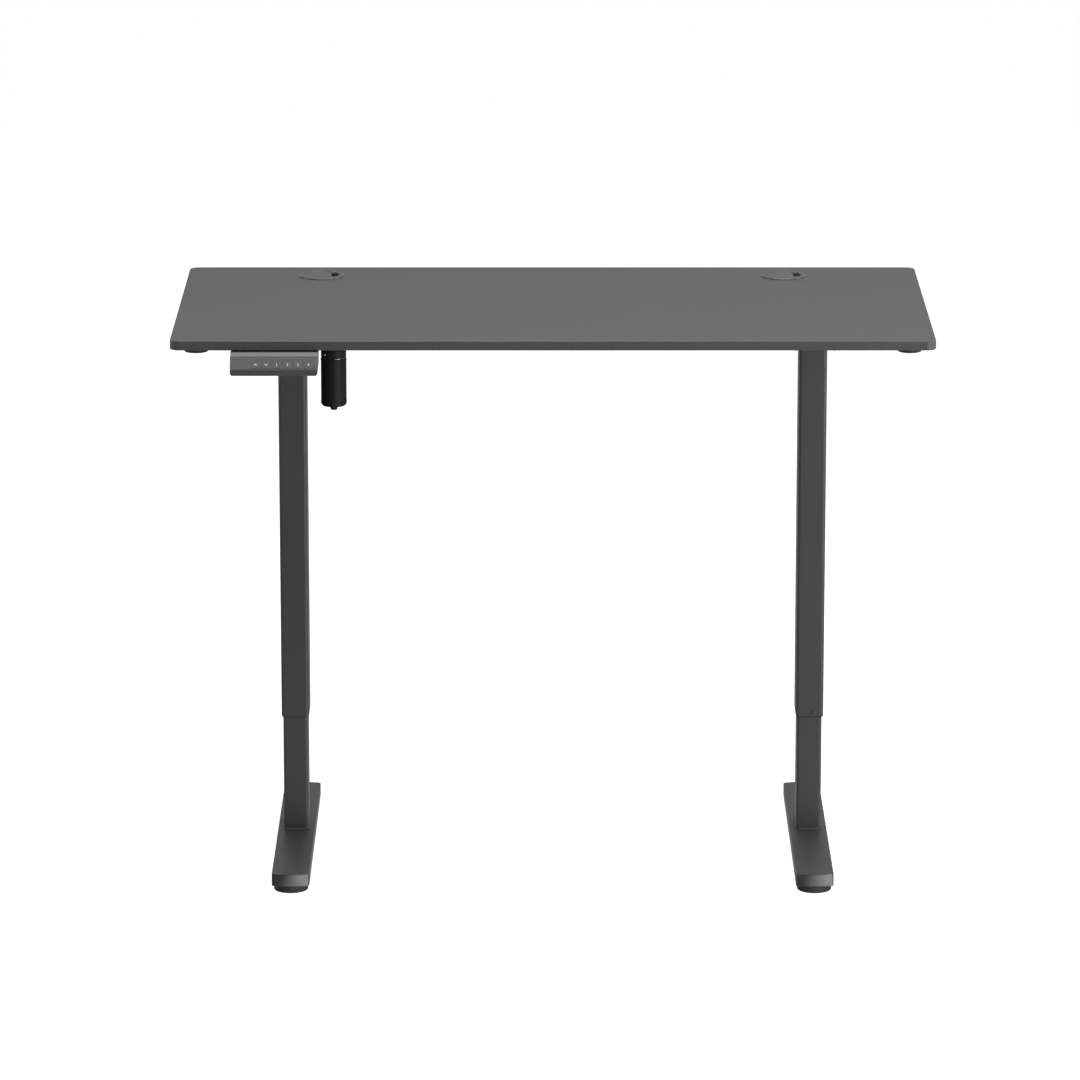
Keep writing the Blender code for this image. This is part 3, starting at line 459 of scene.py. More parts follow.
# ---- frame under the top
def build_bracket(name, sign):
    top, bottom = BOARD_UNDER - FIT_GAP, UPPER_TOP + FIT_GAP
    roof, end_low, half = top - CHANNEL_ROOF, top - CHANNEL_END_HIGH, CHANNEL_LENGTH / 2
    front = [
        (-half, top), (-half, roof), (-CHANNEL_TAPER, roof), (-CHANNEL_TAPER, end_low),
        (-CHANNEL_FULL, bottom),
    ]
    bm = prism(front + [(-y, z) for y, z in reversed(front)], -CHANNEL_W / 2, CHANNEL_W / 2, "X")

    def along_top(edge):
        a, b = (vert.co for vert in edge.verts)
        return abs(a.x - b.x) < NEAR and min(a.z, b.z) > top - NEAR

    bevel(bm, 0.0016, 3, along_top)
    inside, notch = CHANNEL_W / 2 - CHANNEL_WALL, GEAR_D / 2 - 0.004
    tools = [
        block((-inside, -half - PAST, bottom - PAST), (inside, half + PAST, roof)),
        block((inside - PAST, -notch, bottom - PAST), (CHANNEL_W, notch, roof)),
    ]
    for y in (-0.150, 0.150):         # lightening slots through the two walls
        tools.append(moved(slab(0.022, 0.0055, 0.00274, -0.05, 0.05, 8, "X"), (0, y, 0.8785)))
    place, turn = (sign * COLUMN_X, SHIFT, 0), (0, 0, 0 if sign < 0 else math.pi)
    bracket = bevel(cut(bm, *tools), 0.00025, 2)
    piece(f"channel_{name}", moved(bracket, place, turn), "powder_coat", [f"side_bracket_{name}"])
    spots = [(x, y) for y in (-0.183, 0.183) for x in (-0.017, 0.017)] + [(0, -0.130), (0, 0.130)]
    spots = [(sign * COLUMN_X + x, SHIFT + y, roof) for x, y in spots]
    screws_below(f"channel_screws_{name}", spots, 0.0052, 0.0024, 0.0020)
    bolts = []
    for side in (-1, 1):              # the rails' bolts, through the channel's inner wall
        for z in (-0.007, 0.007):
            bolts.append(moved(
                screw_head(0.0046, 0.0022, 0.0018),
                (sign * (COLUMN_X + CHANNEL_W / 2), SHIFT + side * RAIL_Y, RAIL_Z + z),
                (0, sign * math.pi / 2, 0),
            ))
    piece(f"rail_bolts_{name}", merged(*bolts), "bright_steel")


def build_rails(end, sense):
    reach = COLUMN_X - CHANNEL_W / 2 - FIT_GAP
    inner_size = RAIL_SIZE - 2 * RAIL_WALL - 2 * FIT_GAP
    place = (0, sense * RAIL_Y + SHIFT, RAIL_Z)
    for label, size, low, high in (
        ("outer", RAIL_SIZE, -reach, RAIL_OUTER_END), ("inner", inner_size, RAIL_INNER_START, reach),
    ):
        bm = slab(size, size, 0.0024, low, high, 6, "X")
        inside = size - 2 * RAIL_WALL
        rail = bevel(cut(bm, slab(inside, inside, 0.0010, low - PAST, high + PAST, 4, "X")), 0.0002, 2)
        piece(f"cross_rail_{end}_{label}", moved(rail, place), "powder_coat", [f"rail_{end}_{label}"])
    spots = [(x, place[1], RAIL_Z - RAIL_SIZE / 2) for x in (0.090, 0.130)]
    screws_below(f"rail_locks_{end}", spots, 0.0055, 0.0030, 0.0022)


def build_gear_unit(name, sign):
    low, high = UPPER_TOP + FIT_GAP, BOARD_UNDER - CHANNEL_ROOF - 2 * FIT_GAP
    inward, arm_end = -sign, COLUMN_X - MOTOR_X + MOTOR_R + 0.0025
    body = slab(GEAR_W, GEAR_D, 0.004, low, high, 6)
    joins = [rod(PLATE[3] - 0.001, UPPER_TOP - 0.019, low + 0.005, 64)]
    if sign < 0:                      # the arm over the motor
        arm = block((GEAR_W / 3, 0.006 - GEAR_D / 2, low), (arm_end, GEAR_D / 2 - 0.006, high))
        joins.append(bevel(arm, 0.003, 4, in_plane("X", arm_end)))
        for y in (-0.016, 0.0, 0.016):    # stiffening ribs along the arm, under the board
            rib_end = (arm_end - 0.004, y + 0.0012, high - 0.0001)
            joins.append(block((0.031, y - 0.0012, high - 0.0201), rib_end))
    unit = cut(body, *joins, operation="UNION")
    rod_span = sorted((inward * -0.008, inward * 0.1))
    tools = [moved(rod(0.0054, *rod_span, 48, "X"), (0, 0, ROD_Z))]
    if sign > 0:                      # the parting line between the casting's halves
        ring = slab(GEAR_W + 0.02, GEAR_D + 0.02, 0.004, ROD_Z + 0.0006, ROD_Z + 0.0012, 4)
        core = slab(GEAR_W - 0.0010, GEAR_D - 0.0010, 0.0036, ROD_Z - PAST, ROD_Z + PAST, 6)
        tools.append(cut(ring, core))
    unit = moved(bevel(cut(unit, *tools), 0.0006, 2, angle=50), (sign * COLUMN_X, SHIFT, 0))
    piece(f"gear_case_{name}", unit, "gear_casting", [f"gear_unit_{name}"])
    collar = [(0.0058, 0), (0.0105, 0)] + arc((0.0095, 0.0018), 0.0010, 0, 90, 4) + [(0.0058, 0.0028)]
    face = sign * COLUMN_X + inward * (GEAR_W / 2 if sign > 0 else arm_end)
    collar = moved(turned(collar, 64, closed=True), (face, SHIFT, ROD_Z), (0, inward * math.pi / 2, 0))
    piece(f"rod_collar_{name}", collar, "gear_casting")


# ---- motor
def build_motor():
    place = (-MOTOR_X, SHIFT, 0)
    flange_r, waist_r, seam_top = MOTOR_R - 0.0005, MOTOR_R - 0.0022, MOTOR_SEAM + 0.0008
    groove, groove_r = 0.8287, flange_r - 0.0009
    profile = [(0, UPPER_TOP), (flange_r, UPPER_TOP), (flange_r, groove + 0.0023)]
    profile += [(groove_r, groove + 0.0016), (groove_r, groove + 0.0007), (flange_r, groove)]
    profile += [(flange_r, seam_top + 0.0020)]
    profile += arc((waist_r + 0.0002, seam_top + 0.0020), 0.0015, 0, -90, 6)[1:]
    profile += [(waist_r, seam_top), (0, seam_top)]
    outward, around = (0, math.pi / 2, 0), (0, 0, math.radians(-90 - 43))   # 43 degrees left of the front
    hole = rod(0.0017, MOTOR_R - 0.006, MOTOR_R + 0.004, 24)
    hole = moved(moved(hole, turn=outward), (0, 0, MOTOR_SCREW_Z), around)
    piece("motor_bell", moved(cut(turned(profile), hole), place), "motor_black", ["motor_flange"])
    # A thin bright steel ring in the seam, there as a painted highlight along the top edge of the can.
    ring = turned([(MOTOR_R - 0.0011 + 0.0005 * math.cos(a), MOTOR_SEAM + 0.0009 + 0.0005 * math.sin(a))
                   for a in (i * math.pi / 6 for i in range(12))], 128, closed=True)
    piece("motor_seam_glint_ring", moved(ring, place), "bright_steel")

    cap_top = MOTOR_BOTTOM + 0.0062
    can = [(0, seam_top - FIT_GAP), (waist_r, seam_top - FIT_GAP)]
    can += arc((MOTOR_R - 0.0012, MOTOR_SEAM - 0.0009), 0.0012, 80, 0, 6)
    can += [(MOTOR_R, MOTOR_SEAM - 0.0030), (MOTOR_R - 0.0003, MOTOR_SEAM - 0.0034)]
    can += [(MOTOR_R - 0.0003, cap_top + 0.0034), (MOTOR_R, cap_top + 0.0030), (MOTOR_R, cap_top + FIT_GAP)]
    can += [(0, cap_top + FIT_GAP)]
    piece("motor_shell", moved(turned(can, 128), place), "motor_black", ["motor_can"])

    cap_r, bend, nub_low = MOTOR_R - 0.0003, 0.0050, MOTOR_BOTTOM - 0.0066
    cap = [(0, cap_top), (cap_r, cap_top), (cap_r, cap_top - 0.0008)]
    cap += arc((cap_r - bend, cap_top - 0.0008), bend, 0, -72, 8)[1:]
    cap += [(0.0140, MOTOR_BOTTOM), (0.0078, MOTOR_BOTTOM - 0.0008)]
    cap += arc((0.0078, MOTOR_BOTTOM - 0.0026), 0.0018, 100, 180, 5)[1:]
    cap += [(0.0055, nub_low + 0.0016)] + arc((0.0040, nub_low + 0.0014), 0.0014, 0, -90, 5) + [(0, nub_low)]
    vents = []
    for i in range(4):                # cooling slots in the end cap
        angle = math.pi / 4 + i * math.pi / 2
        slot = slab(0.0044, 0.0018, 0.0008, MOTOR_BOTTOM - 0.004, MOTOR_BOTTOM + 0.0016, 4)
        spot = (0.0112 * math.cos(angle), 0.0112 * math.sin(angle), 0)
        vents.append(moved(slot, spot, (0, 0, angle + math.pi / 2)))
    piece("motor_cap", moved(cut(turned(cap, 96), *vents), place), "motor_black", ["motor_end_cap"])

    seat = (flange_r + FIT_GAP, 0, 0)
    bolt = merged(*(moved(bm, seat, outward)
                    for bm in (screw_head(0.0028, 0.0014, 0.0011), rod(0.0014, -0.004, 0.0002, 24))))
    bolt = moved(bolt, (-MOTOR_X, SHIFT, MOTOR_SCREW_Z), around)
    piece("motor_bolt", bolt, "bright_steel", ["motor_screw"])


# ---- columns
def build_upper_column(name, sign):
    width, depth, wall, radius = UPPER
    plate_w, plate_d, plate_thick, bore_r = PLATE
    plate_low = UPPER_TOP - plate_thick
    tube = slab(width, depth, radius, UPPER_BOTTOM, plate_low + 0.001)
    plate = bevel(slab(plate_w, plate_d, 0.004, plate_low, UPPER_TOP, 8), 0.0004, 2)
    tube = cut(tube, plate, operation="UNION")
    inner = (width - 2 * wall, depth - 2 * wall, radius - wall)
    hole_end = wall + 0.0004 - depth / 2
    screw_x, screw_z = 0.0060, UPPER_BOTTOM + 0.0058
    tools = [
        slab(*inner, UPPER_BOTTOM - PAST, plate_low, 8),
        rod(bore_r, plate_low - PAST, UPPER_TOP + PAST, 64),
        moved(rod(0.0019, -depth / 2 - PAST, hole_end, 24, "Y"), (screw_x, 0, screw_z)),
    ]
    turn = (0, 0, 0 if sign > 0 else math.pi)     # the screw is in front at the right, behind at the left
    place = (sign * COLUMN_X, SHIFT, 0)
    tube = moved(cut(tube, *tools), place, turn)
    piece(f"outer_tube_{name}", tube, "powder_coat", [f"upper_tube_{name}"])
    spots = [(place[0] + x, SHIFT + y, plate_low) for x in (-0.016, 0.016) for y in (-0.050, 0.050)]
    screws_below(f"plate_bolts_{name}", spots, 0.0046, 0.0026, 0.0018)
    bead = weld_bead(width, depth, radius, plate_low, -1)
    piece(f"plate_weld_{name}", moved(bead, place), "powder_coat")

    lip_high = UPPER_BOTTOM - FIT_GAP
    lip_mid, lip_low = lip_high - 0.0008, lip_high - 0.0026
    outline = rounded_outline(width - 0.0004, depth - 0.0004, radius, 10)
    ring = prism(outline, lip_mid, lip_high)
    taper = prism(outline, lip_low, lip_mid + 0.0002)
    for vert in taper.verts:
        if vert.co.z < lip_mid:
            vert.co.x *= 1 - 0.0028 / width
            vert.co.y *= 1 - 0.0028 / depth
    gap = (2 * FIT_GAP, 2 * FIT_GAP, FIT_GAP)
    sleeve = slab(*(a - b for a, b in zip(inner, gap)), lip_mid, UPPER_BOTTOM + 0.030, 8)
    ring = cut(ring, taper, sleeve, operation="UNION")
    bore = (LOWER[0] + gap[0], LOWER[1] + gap[1], LOWER[3] + gap[2])
    ring = cut(ring, slab(*bore, lip_low - PAST, UPPER_BOTTOM + 0.04, 8))
    piece(f"glide_collar_{name}", moved(ring, place, turn), "nylon", [f"glide_ring_{name}"])
    seat = (place[0] + sign * screw_x, SHIFT - sign * (depth / 2 + FIT_GAP), screw_z)
    head = moved(screw_head(0.0034, 0.0010, 0.0012, 0.0006), seat, (sign * math.pi / 2, 0, 0))
    piece(f"collar_screw_{name}", head, "powder_coat", [f"glide_screw_{name}"])


def weld_bead(width, depth, radius, level, sense, size=0.0022):
    """A rippled fillet of weld around a rectangular tube."""
    path = rounded_outline(width, depth, radius, 8)
    stations = []
    for (x0, y0), (x1, y1) in zip(path, path[1:] + path[:1]):
        length = math.hypot(x1 - x0, y1 - y0)
        count = max(1, round(length / 0.0011))
        stations += [(x0 + (x1 - x0) * i / count, y0 + (y1 - y0) * i / count) for i in range(count)]
    bm, rings, total = bmesh.new(), [], len(stations)
    for i, (x, y) in enumerate(stations):
        (before_x, before_y), (after_x, after_y) = stations[i - 1], stations[(i + 1) % total]
        along = Vector((after_x - before_x, after_y - before_y, 0)).normalized()
        out = Vector((along.y, -along.x, 0))
        swell = size * (1 + 0.14 * math.sin(i * 2.1) + 0.06 * math.sin(i * 0.37))
        base = Vector((x, y, level))
        rings.append([
            bm.verts.new(base - out * 0.0004),
            bm.verts.new(base + out * swell),
            bm.verts.new(base + out * swell * 0.45 + Vector((0, 0, sense * swell * 0.45))),
            bm.verts.new(base + Vector((0, 0, sense * swell)) - out * 0.0002),
        ])
    for i in range(total):
        a, b = rings[i], rings[(i + 1) % total]
        for j in range(4):
            bm.faces.new((a[j], a[(j + 1) % 4], b[(j + 1) % 4], b[j]))
    return bm


def build_lower_column(name, sign):
    width, depth, wall, radius = LOWER
    place, bottom = (sign * COLUMN_X, SHIFT, 0), FOOT_TOP + FIT_GAP
    tube = slab(width, depth, radius, bottom, LOWER_TOP)
    bore = (width - 2 * wall, depth - 2 * wall, radius - wall)
    tube = moved(cut(tube, slab(*bore, bottom + 0.006, LOWER_TOP + PAST, 6)), place)
    piece(f"inner_tube_{name}", tube, "powder_coat", [f"lower_tube_{name}"], body=f"{name}_base")
    bead = weld_bead(width, depth, radius, bottom + 0.0001, 1, 0.0017)
    piece(f"base_weld_{name}", moved(bead, place), "powder_coat", body=f"{name}_base")


# ---- feet
def foot_outline(width, length, radius, bow, steps=10, bow_steps=24):
    """Plan of a foot: long straight sides, rounded corners and slightly bowed ends."""
    inner = width / 2 - radius
    sweep = 2 * math.atan(bow / inner)
    end_r = inner / math.sin(sweep) + radius
    corner_y, centre_y = length / 2 - bow - radius, length / 2 - end_r
    turns = [(math.pi / 2 - sweep) * i / steps for i in range(steps + 1)]
    right = [(inner + radius * math.cos(a), corner_y + radius * math.sin(a)) for a in turns]
    turns = [math.pi / 2 - sweep + 2 * sweep * i / bow_steps for i in range(1, bow_steps)]
    bowed = [(end_r * math.cos(a), centre_y + end_r * math.sin(a)) for a in turns]
    points = right + bowed + [(-x, y) for x, y in reversed(right)]
    return points + [(-x, -y) for x, y in points]


def build_foot(name, sign):
    middle, length = (FOOT_BACK - FOOT_FRONT) / 2, FOOT_BACK + FOOT_FRONT
    roof, base = FOOT_TOP - FOOT_SKIN, f"{name}_base"
    foot = prism(foot_outline(FOOT_W, length, FOOT_CORNER_R, FOOT_BOW), FOOT_BOTTOM, FOOT_TOP)
    bevel(foot, FOOT_EDGE_R, 4, in_plane("Z", FOOT_TOP))
    bevel(foot, FOOT_EDGE_R, 3, in_plane("Z", FOOT_BOTTOM))
    half_w, half_l = FOOT_W / 2 - FOOT_SKIN, length / 2 - FOOT_BLOCK
    hollow = block((-half_w, -half_l, FOOT_BOTTOM - PAST), (half_w, half_l, roof))
    tools = [bevel(hollow, 0.0010, 3, in_plane("Z", roof))]
    for sense in (-1, 1):             # the holes for the column's bolt and for the pad's stud
        bolt_hole = rod(0.0045, FOOT_BOTTOM, FOOT_TOP + PAST, 32)
        tools.append(moved(bolt_hole, (0, sense * BASE_BOLT_Y - middle, 0)))
        stud_hole = rod(0.0044, FOOT_BOTTOM - PAST, STUD_TOP + 0.0006, 32)
        tools.append(moved(stud_hole, (0, sense * (length / 2 - PAD_INSET), 0)))
    foot = moved(cut(foot, *tools), (sign * COLUMN_X, middle + SHIFT, 0))
    foot = piece(f"foot_beam_{name}", foot, "powder_coat", [f"foot_{name}"], body=base)
    foot.data.materials.append(FINISHES["foot_end"])
    for face in foot.data.polygons:       # the two ends of the foot
        if abs(face.normal.y) > 0.85 and abs(face.center.y - middle - SHIFT) > half_l + FOOT_BLOCK / 2:
            face.material_index = 1
    for end, sense in ENDS.items():
        high = roof - FIT_GAP
        low, top = high - 0.0055, FOOT_TOP + 0.0052
        bolt = [(0, low), (0.0058, low)] + arc((0.0060, low + 0.0008), 0.0008, -90, 0, 4)
        bolt += [(0.0068, high), (0.0040, high), (0.0040, top), (0, top)]
        bolt = cut(turned(bolt, 48), rod(0.0030, low - PAST, low + 0.003, 6))
        bolt = moved(bolt, (sign * COLUMN_X, sense * BASE_BOLT_Y + SHIFT, 0))
        piece(f"base_bolt_{name}_{end}", bolt, "bright_steel", [f"foot_bolt_{name}_{end}"], body=base)


def build_pad(name, sign, end, sense):
    high = FOOT_BOTTOM - FIT_GAP
    profile = [(0, 0.0004), (0.0200, 0.0004), (0.0206, 0.0), (PAD_R - 0.0020, 0)]
    profile += arc((PAD_R - 0.0018, 0.0018), 0.0018, -90, 0, 6)
    profile += [(PAD_R, 0.0046), (PAD_R - 0.0006, 0.0050), (PAD_R - 0.0006, 0.0056), (PAD_R, 0.0060)]
    profile += arc((PAD_R - 0.0014, high - 0.0014), 0.0014, 0, 90, 5)
    profile += [(0.0105, high), (0.0105, high - 0.0022), (0.0040, high - 0.0022)]
    profile += [(0.0040, STUD_TOP - 0.0006), (0.0034, STUD_TOP), (0, STUD_TOP)]
    y = (-FOOT_FRONT + PAD_INSET) if sense < 0 else (FOOT_BACK - PAD_INSET)
    piece(
        f"pad_{name}_{end}", moved(turned(profile, 128), (sign * COLUMN_X, y + SHIFT, 0)), "black_rubber",
        [f"levelling_pad_{name}_{end}"], body=f"pad_{name}_{end}",
    )


# ---- controller
def face_frame():
    """The face's top and bottom edges as (y, z), without SHIFT, and the matrix from its own frame.

    In that frame x runs to the right, y up the slope and z out of the face.
    """
    bottom = Vector((-KEYPAD_FRONT, KEYPAD_LIP_TOP))
    top = bottom + KEYPAD_FACE * Vector((math.cos(KEYPAD_TILT), math.sin(KEYPAD_TILT)))
    middle = (top + bottom) / 2
    place = Matrix.Translation((-KEYPAD_X, middle.x + SHIFT, middle.y))
    return top, bottom, place @ Matrix.Rotation(KEYPAD_TILT, 4, "X")


def on_face(bm, x=0.0, y=0.0):
    bmesh.ops.transform(bm, matrix=face_frame()[2] @ Matrix.Translation((x, y, 0)), verts=bm.verts)
    return bm


def stroke(points, width, low, high):
    """A flat line of even width through points, raised from low to high."""
    left, right = [], []
    for i, point in enumerate(points):
        before = Vector(points[max(i - 1, 0)])
        after = Vector(points[min(i + 1, len(points) - 1)])
        here = Vector(point)
        a = (here - before).normalized() if i else (after - here).normalized()
        b = (after - here).normalized() if i < len(points) - 1 else a
        along = (a + b).normalized()
        out = Vector((-along.y, along.x)) * width / 2 / max(0.3, along.dot(a))
        left.append(here + out)
        right.append(here - out)
    return prism([tuple(p) for p in left + right[::-1]], low, high)


def numeral(text, size, low, high):
    """A numeral as a thin raised body, centred on the Z axis."""
    curve = bpy.data.curves.new("numeral", "FONT")
    curve.body, curve.size, curve.align_x, curve.align_y = text, size, "CENTER", "CENTER"
    curve.extrude, curve.resolution_u = (high - low) / 2, 4
    curve.offset = 0.00006
    holder = bpy.data.objects.new("numeral", curve)
    bpy.context.scene.collection.objects.link(holder)
    bpy.context.view_layer.update()
    mesh = bpy.data.meshes.new_from_object(holder.evaluated_get(bpy.context.evaluated_depsgraph_get()))
    bm = bmesh.new()
    bm.from_mesh(mesh)
    bpy.data.objects.remove(holder)
    bpy.data.curves.remove(curve)
    bpy.data.meshes.remove(mesh)
    xs, ys = ([v.co[i] for v in bm.verts] for i in (0, 1))
    middle = (-(min(xs) + max(xs)) / 2, -(min(ys) + max(ys)) / 2, (low + high) / 2)
    bmesh.ops.translate(bm, verts=bm.verts, vec=middle)
    return bm


def build_keypad():
    top, bottom, _ = face_frame()
    back, roof, half = KEYPAD_BACK, BOARD_UNDER - 0.002, KEYPAD_W / 2
    lip = arc((bottom.x + 0.0016, KEYPAD_BOTTOM + 0.0016), 0.0016, 180, 270, 6)
    outline = [(back, roof), (KEYPAD_ROOF_FRONT, roof), (top.x, top.y), (bottom.x, bottom.y)] + lip
    outline += [(KEYPAD_ROOF_FRONT - 0.010, KEYPAD_BOTTOM), (back, KEYPAD_BOTTOM + 0.010)]
    bm = prism(outline, -half, half, "X")
    bevel(bm, 0.0006, 4, in_plane("X", -half, half))
    bevel(bm, 0.00035, 2, lambda e: abs(e.verts[0].co.x - e.verts[1].co.x) > 0.05, angle=12)
    high = BOARD_UNDER + 0.010
    front_view = rounded_outline(KEYPAD_W, high - KEYPAD_BOTTOM, KEYPAD_END_R, 12)
    front_view = [(x, z + (high + KEYPAD_BOTTOM) / 2) for x, z in front_view]
    bm = cut(bm, prism(front_view, -KEYPAD_FRONT - PAST, back + PAST, "Y"), operation="INTERSECT")
    moved(unsplit(bm), (-KEYPAD_X, SHIFT, 0))
    tabs = []                         # screwed to the underside of the board
    for sign in SIDES.values():
        tab = block((-0.016, back - 0.022, roof - 0.002), (0.016, back - 0.004, BOARD_UNDER - FIT_GAP))
        tabs.append(moved(tab, (sign * (half - 0.022) - KEYPAD_X, SHIFT, 0)))
    bm = cut(bm, *tabs, operation="UNION")
    plate_w, plate_h, plate_low = KEYPAD_W - 0.0100, KEYPAD_FACE - 0.0026, -0.0012
    pocket = slab(plate_w + 2 * FIT_GAP, plate_h + 2 * FIT_GAP, 0.0018, plate_low, PAST, 8)
    well = slab(0.1236, 0.0152, 0.001, -0.0078, PAST, 4)
    bm = cut(bm, on_face(pocket), on_face(well, 0, KEY_Y))
    shell = piece("keypad_shell", bm, "controller_plastic", ["keypad_housing"], smooth=30)
    # The ledge that faces up gets a paler copy of the plastic as a painted highlight, and the upright lip
    # gets a darker copy as painted shade.
    shell.data.materials.append(FINISHES["controller_painted_highlight"])
    shell.data.materials.append(FINISHES["controller_painted_shade"])
    for face in shell.data.polygons:
        if face.normal.y < -0.95:     # the upright lip along the bottom, painted darker: painted shade
            face.material_index = 2
        in_front = face.center.y < KEYPAD_ROOF_FRONT + SHIFT + 0.02 and face.center.z > top.y - 0.0006
        if face.normal.z > 0.8 and in_front:      # the ledge above the face, painted paler: painted highlight
            face.material_index = 1

    plate = slab(plate_w, plate_h, 0.0015, plate_low + FIT_GAP, 0.0, 8)
    bevel(plate, 0.00015, 2, in_plane("Z", 0.0))
    keys = [(KEY_FIRST + i * KEY_PITCH - half, name) for i, name in enumerate(KEY_NAMES)]
    hole = (KEY_W + 2 * FIT_GAP, KEY_H + 2 * FIT_GAP, KEY_R + FIT_GAP)
    tools = [moved(slab(*hole, -PAST, PAST, 8), (x, KEY_Y, 0)) for x, _ in keys]
    screen_w, screen_h, screen_x, screen_top = 0.0210, 0.0110, 0.0185 - half, -0.00002
    screen_hole = slab(screen_w + 0.0001, screen_h + 0.0001, 0.0008, -PAST, PAST, 6)
    tools.append(moved(screen_hole, (screen_x, KEY_Y, 0)))
    piece("keypad_face_plate", on_face(cut(plate, *tools)), "controller_plastic", ["keypad_faceplate"])
    screen = slab(screen_w, screen_h, 0.0008, -0.0030, screen_top, 6)
    bevel(screen, 0.00005, 1, in_plane("Z", screen_top))
    piece(
        "keypad_screen", on_face(screen, screen_x, KEY_Y), "controller_plastic", ["keypad_display"],
        slot="display_window",
    )

    mat = slab(0.1224, 0.0140, 0.0008, -0.00579, -0.0056, 4)
    piece("keypad_mat", on_face(mat, 0, KEY_Y), "black_rubber")   # over the circuit board
    signs = {"one": "1", "two": "2", "three": "3", "memory": "4"}
    print_span = (KEY_TOP - 0.0001, KEY_TOP + 0.00004)
    for x, name in keys:
        body = f"button_{name}"
        key = bevel(slab(KEY_W, KEY_H, KEY_R, KEY_LOW, KEY_TOP, 8), 0.00035, 4, in_plane("Z", KEY_TOP))
        piece(f"button_{name}_cap", on_face(key, x, KEY_Y), "controller_plastic", [f"key_{name}"], body=body)
        if name in signs:
            mark = numeral(signs[name], 0.0062, *print_span)
        else:
            rise = 0.0013 if name == "up" else -0.0013
            mark = stroke([(-0.0026, -rise), (0, rise), (0.0026, -rise)], 0.0009, *print_span)
        piece(f"button_{name}_mark", on_face(mark, x, KEY_Y - 0.0003), "key_print", body=body)


# ---- control box
def build_control_box():
    place = (sum(BOX_X) / 2, sum(BOX_Y) / 2 + SHIFT, 0)
    width, depth = BOX_X[1] - BOX_X[0], BOX_Y[1] - BOX_Y[0]
    half_w, roof = width / 2, BOARD_UNDER - FIT_GAP
    shell = slab(width, depth, 0.006, BOX_FLOOR, roof - BOX_LID - FIT_GAP, 8)
    bevel(shell, 0.0020, 5, in_plane("Z", BOX_FLOOR))
    inside = (width - 2 * BOX_WALL, depth - 2 * BOX_WALL, 0.004)
    tools = [slab(*inside, BOX_FLOOR + BOX_WALL, roof + PAST, 6)]
    for y, socket_w in BOX_SOCKETS:
        mouth = slab(socket_w, SOCKET_HIGH, 0.0012, -half_w - PAST, -half_w + BOX_WALL + 0.001, 4, "X")
        tools.append(moved(mouth, (0, y, SOCKET_Z)))
    for i in range(9):                # cooling slots in the floor
        slot = slab(0.0022, 0.052, 0.00109, BOX_FLOOR - PAST, BOX_FLOOR + PAST, 6)
        tools.append(moved(slot, (0.016 + i * 0.0068, 0, 0)))
    piece("box_shell", moved(cut(shell, *tools), place), "black_plastic", ["control_box_housing"])
    lid = bevel(slab(width + 2 * BOX_LUG, depth, 0.006, roof - BOX_LID, roof, 8), 0.0004, 2)
    spots = [(sx * (half_w + BOX_LUG / 2), sy * depth * 0.32) for sx in (-1, 1) for sy in (-1, 1)]
    holes = [moved(rod(0.0024, roof - PAST, roof + PAST, 24), (*spot, 0)) for spot in spots]
    piece("box_lid", moved(cut(lid, *holes), place), "black_plastic", ["control_box_cover"])
    spots = [(place[0] + x, place[1] + y, roof - BOX_LID) for x, y in spots]
    screws_below("box_screws", spots, 0.0042, 0.0018, 0.0016)
    for i, (y, socket_w) in enumerate(BOX_SOCKETS):   # frames around the sockets, and their pins
        rim_low, rim_high = -half_w - 0.0009, -half_w + 0.0002
        rim = slab(socket_w + 0.0030, SOCKET_HIGH + 0.0030, 0.0020, rim_low, rim_high, 5, "X")
        rim = cut(rim, slab(socket_w, SOCKET_HIGH, 0.0012, -half_w - PAST, -half_w + PAST, 4, "X"))
        at = (place[0], place[1] + y, SOCKET_Z)
        piece(f"socket_rim_{i + 1}", moved(bevel(rim, 0.0003, 2), at), "black_plastic")
        count, size = (3, 0.0010) if i == 0 else (5, 0.0004)
        pins = []
        for j in range(count):
            pin_y = (j - (count - 1) / 2) * (socket_w - 0.004) / count
            pin = block((0.0031, pin_y - size, -0.0022), (0.0150, pin_y + size, 0.0022))
            pins.append(moved(pin, (-half_w, 0, 0)))
        piece(f"socket_pins_{i + 1}", moved(merged(*pins), at), "bright_steel")


# ---- studio
def foot_glint_card(middle):
    """A glowing card on the floor before one foot, which only reflections see, brighter towards the right: a
    painted highlight on the end of the foot.
    """
    left, right, near, far = middle - 0.10, middle + 0.12, SHIFT - FOOT_FRONT - 0.006, -0.42
    corners = ((left, far), (right, far), (right, near), (left, near))
    bm = bmesh.new()
    bm.faces.new([bm.verts.new((*corner, 0.001)) for corner in corners])
    card = mesh_object("foot_glint_card", bm)
    card.visible_camera = card.visible_diffuse = card.visible_transmission = card.visible_shadow = False
    tree = Tree(bpy.data.materials.new("foot_glint_card"))
    across = tree.add("SeparateXYZ", "X", {"Vector": tree.place})
    strength = tree.spread(across, 0.0, 2.6, (middle - 0.035, middle + 0.045))
    tree.show(tree.add("Emission", "Emission", {"Strength": strength}))
    card.data.materials.append(tree.owner)
    return card


def make_floor():
    """A bright matt disc that a view from below looks through."""
    bm = bmesh.new()
    bmesh.ops.create_circle(bm, cap_ends=True, radius=7.0, segments=96)
    floor = mesh_object("floor", bm)
    tree = Tree(bpy.data.materials.new("floor"))
    shader = tree.nodes["Principled BSDF"]
    tree.feed(shader, {
        "Base Color": (0.32, 0.32, 0.32, 1), "Roughness": 0.9, "Specular IOR Level": 0.1,
        "Emission Color": (1, 1, 1, 1), "Emission Strength": 0.97,
    })
    from_below, clear = tree.add("NewGeometry", "Backfacing", {}), tree.add("BsdfTransparent", "BSDF", {})
    tree.show(tree.add("MixShader", "Shader", {"Fac": from_below, 1: shader.outputs["BSDF"], 2: clear}))
    floor.data.materials.append(tree.owner)
    floor.visible_glossy = False
    return floor


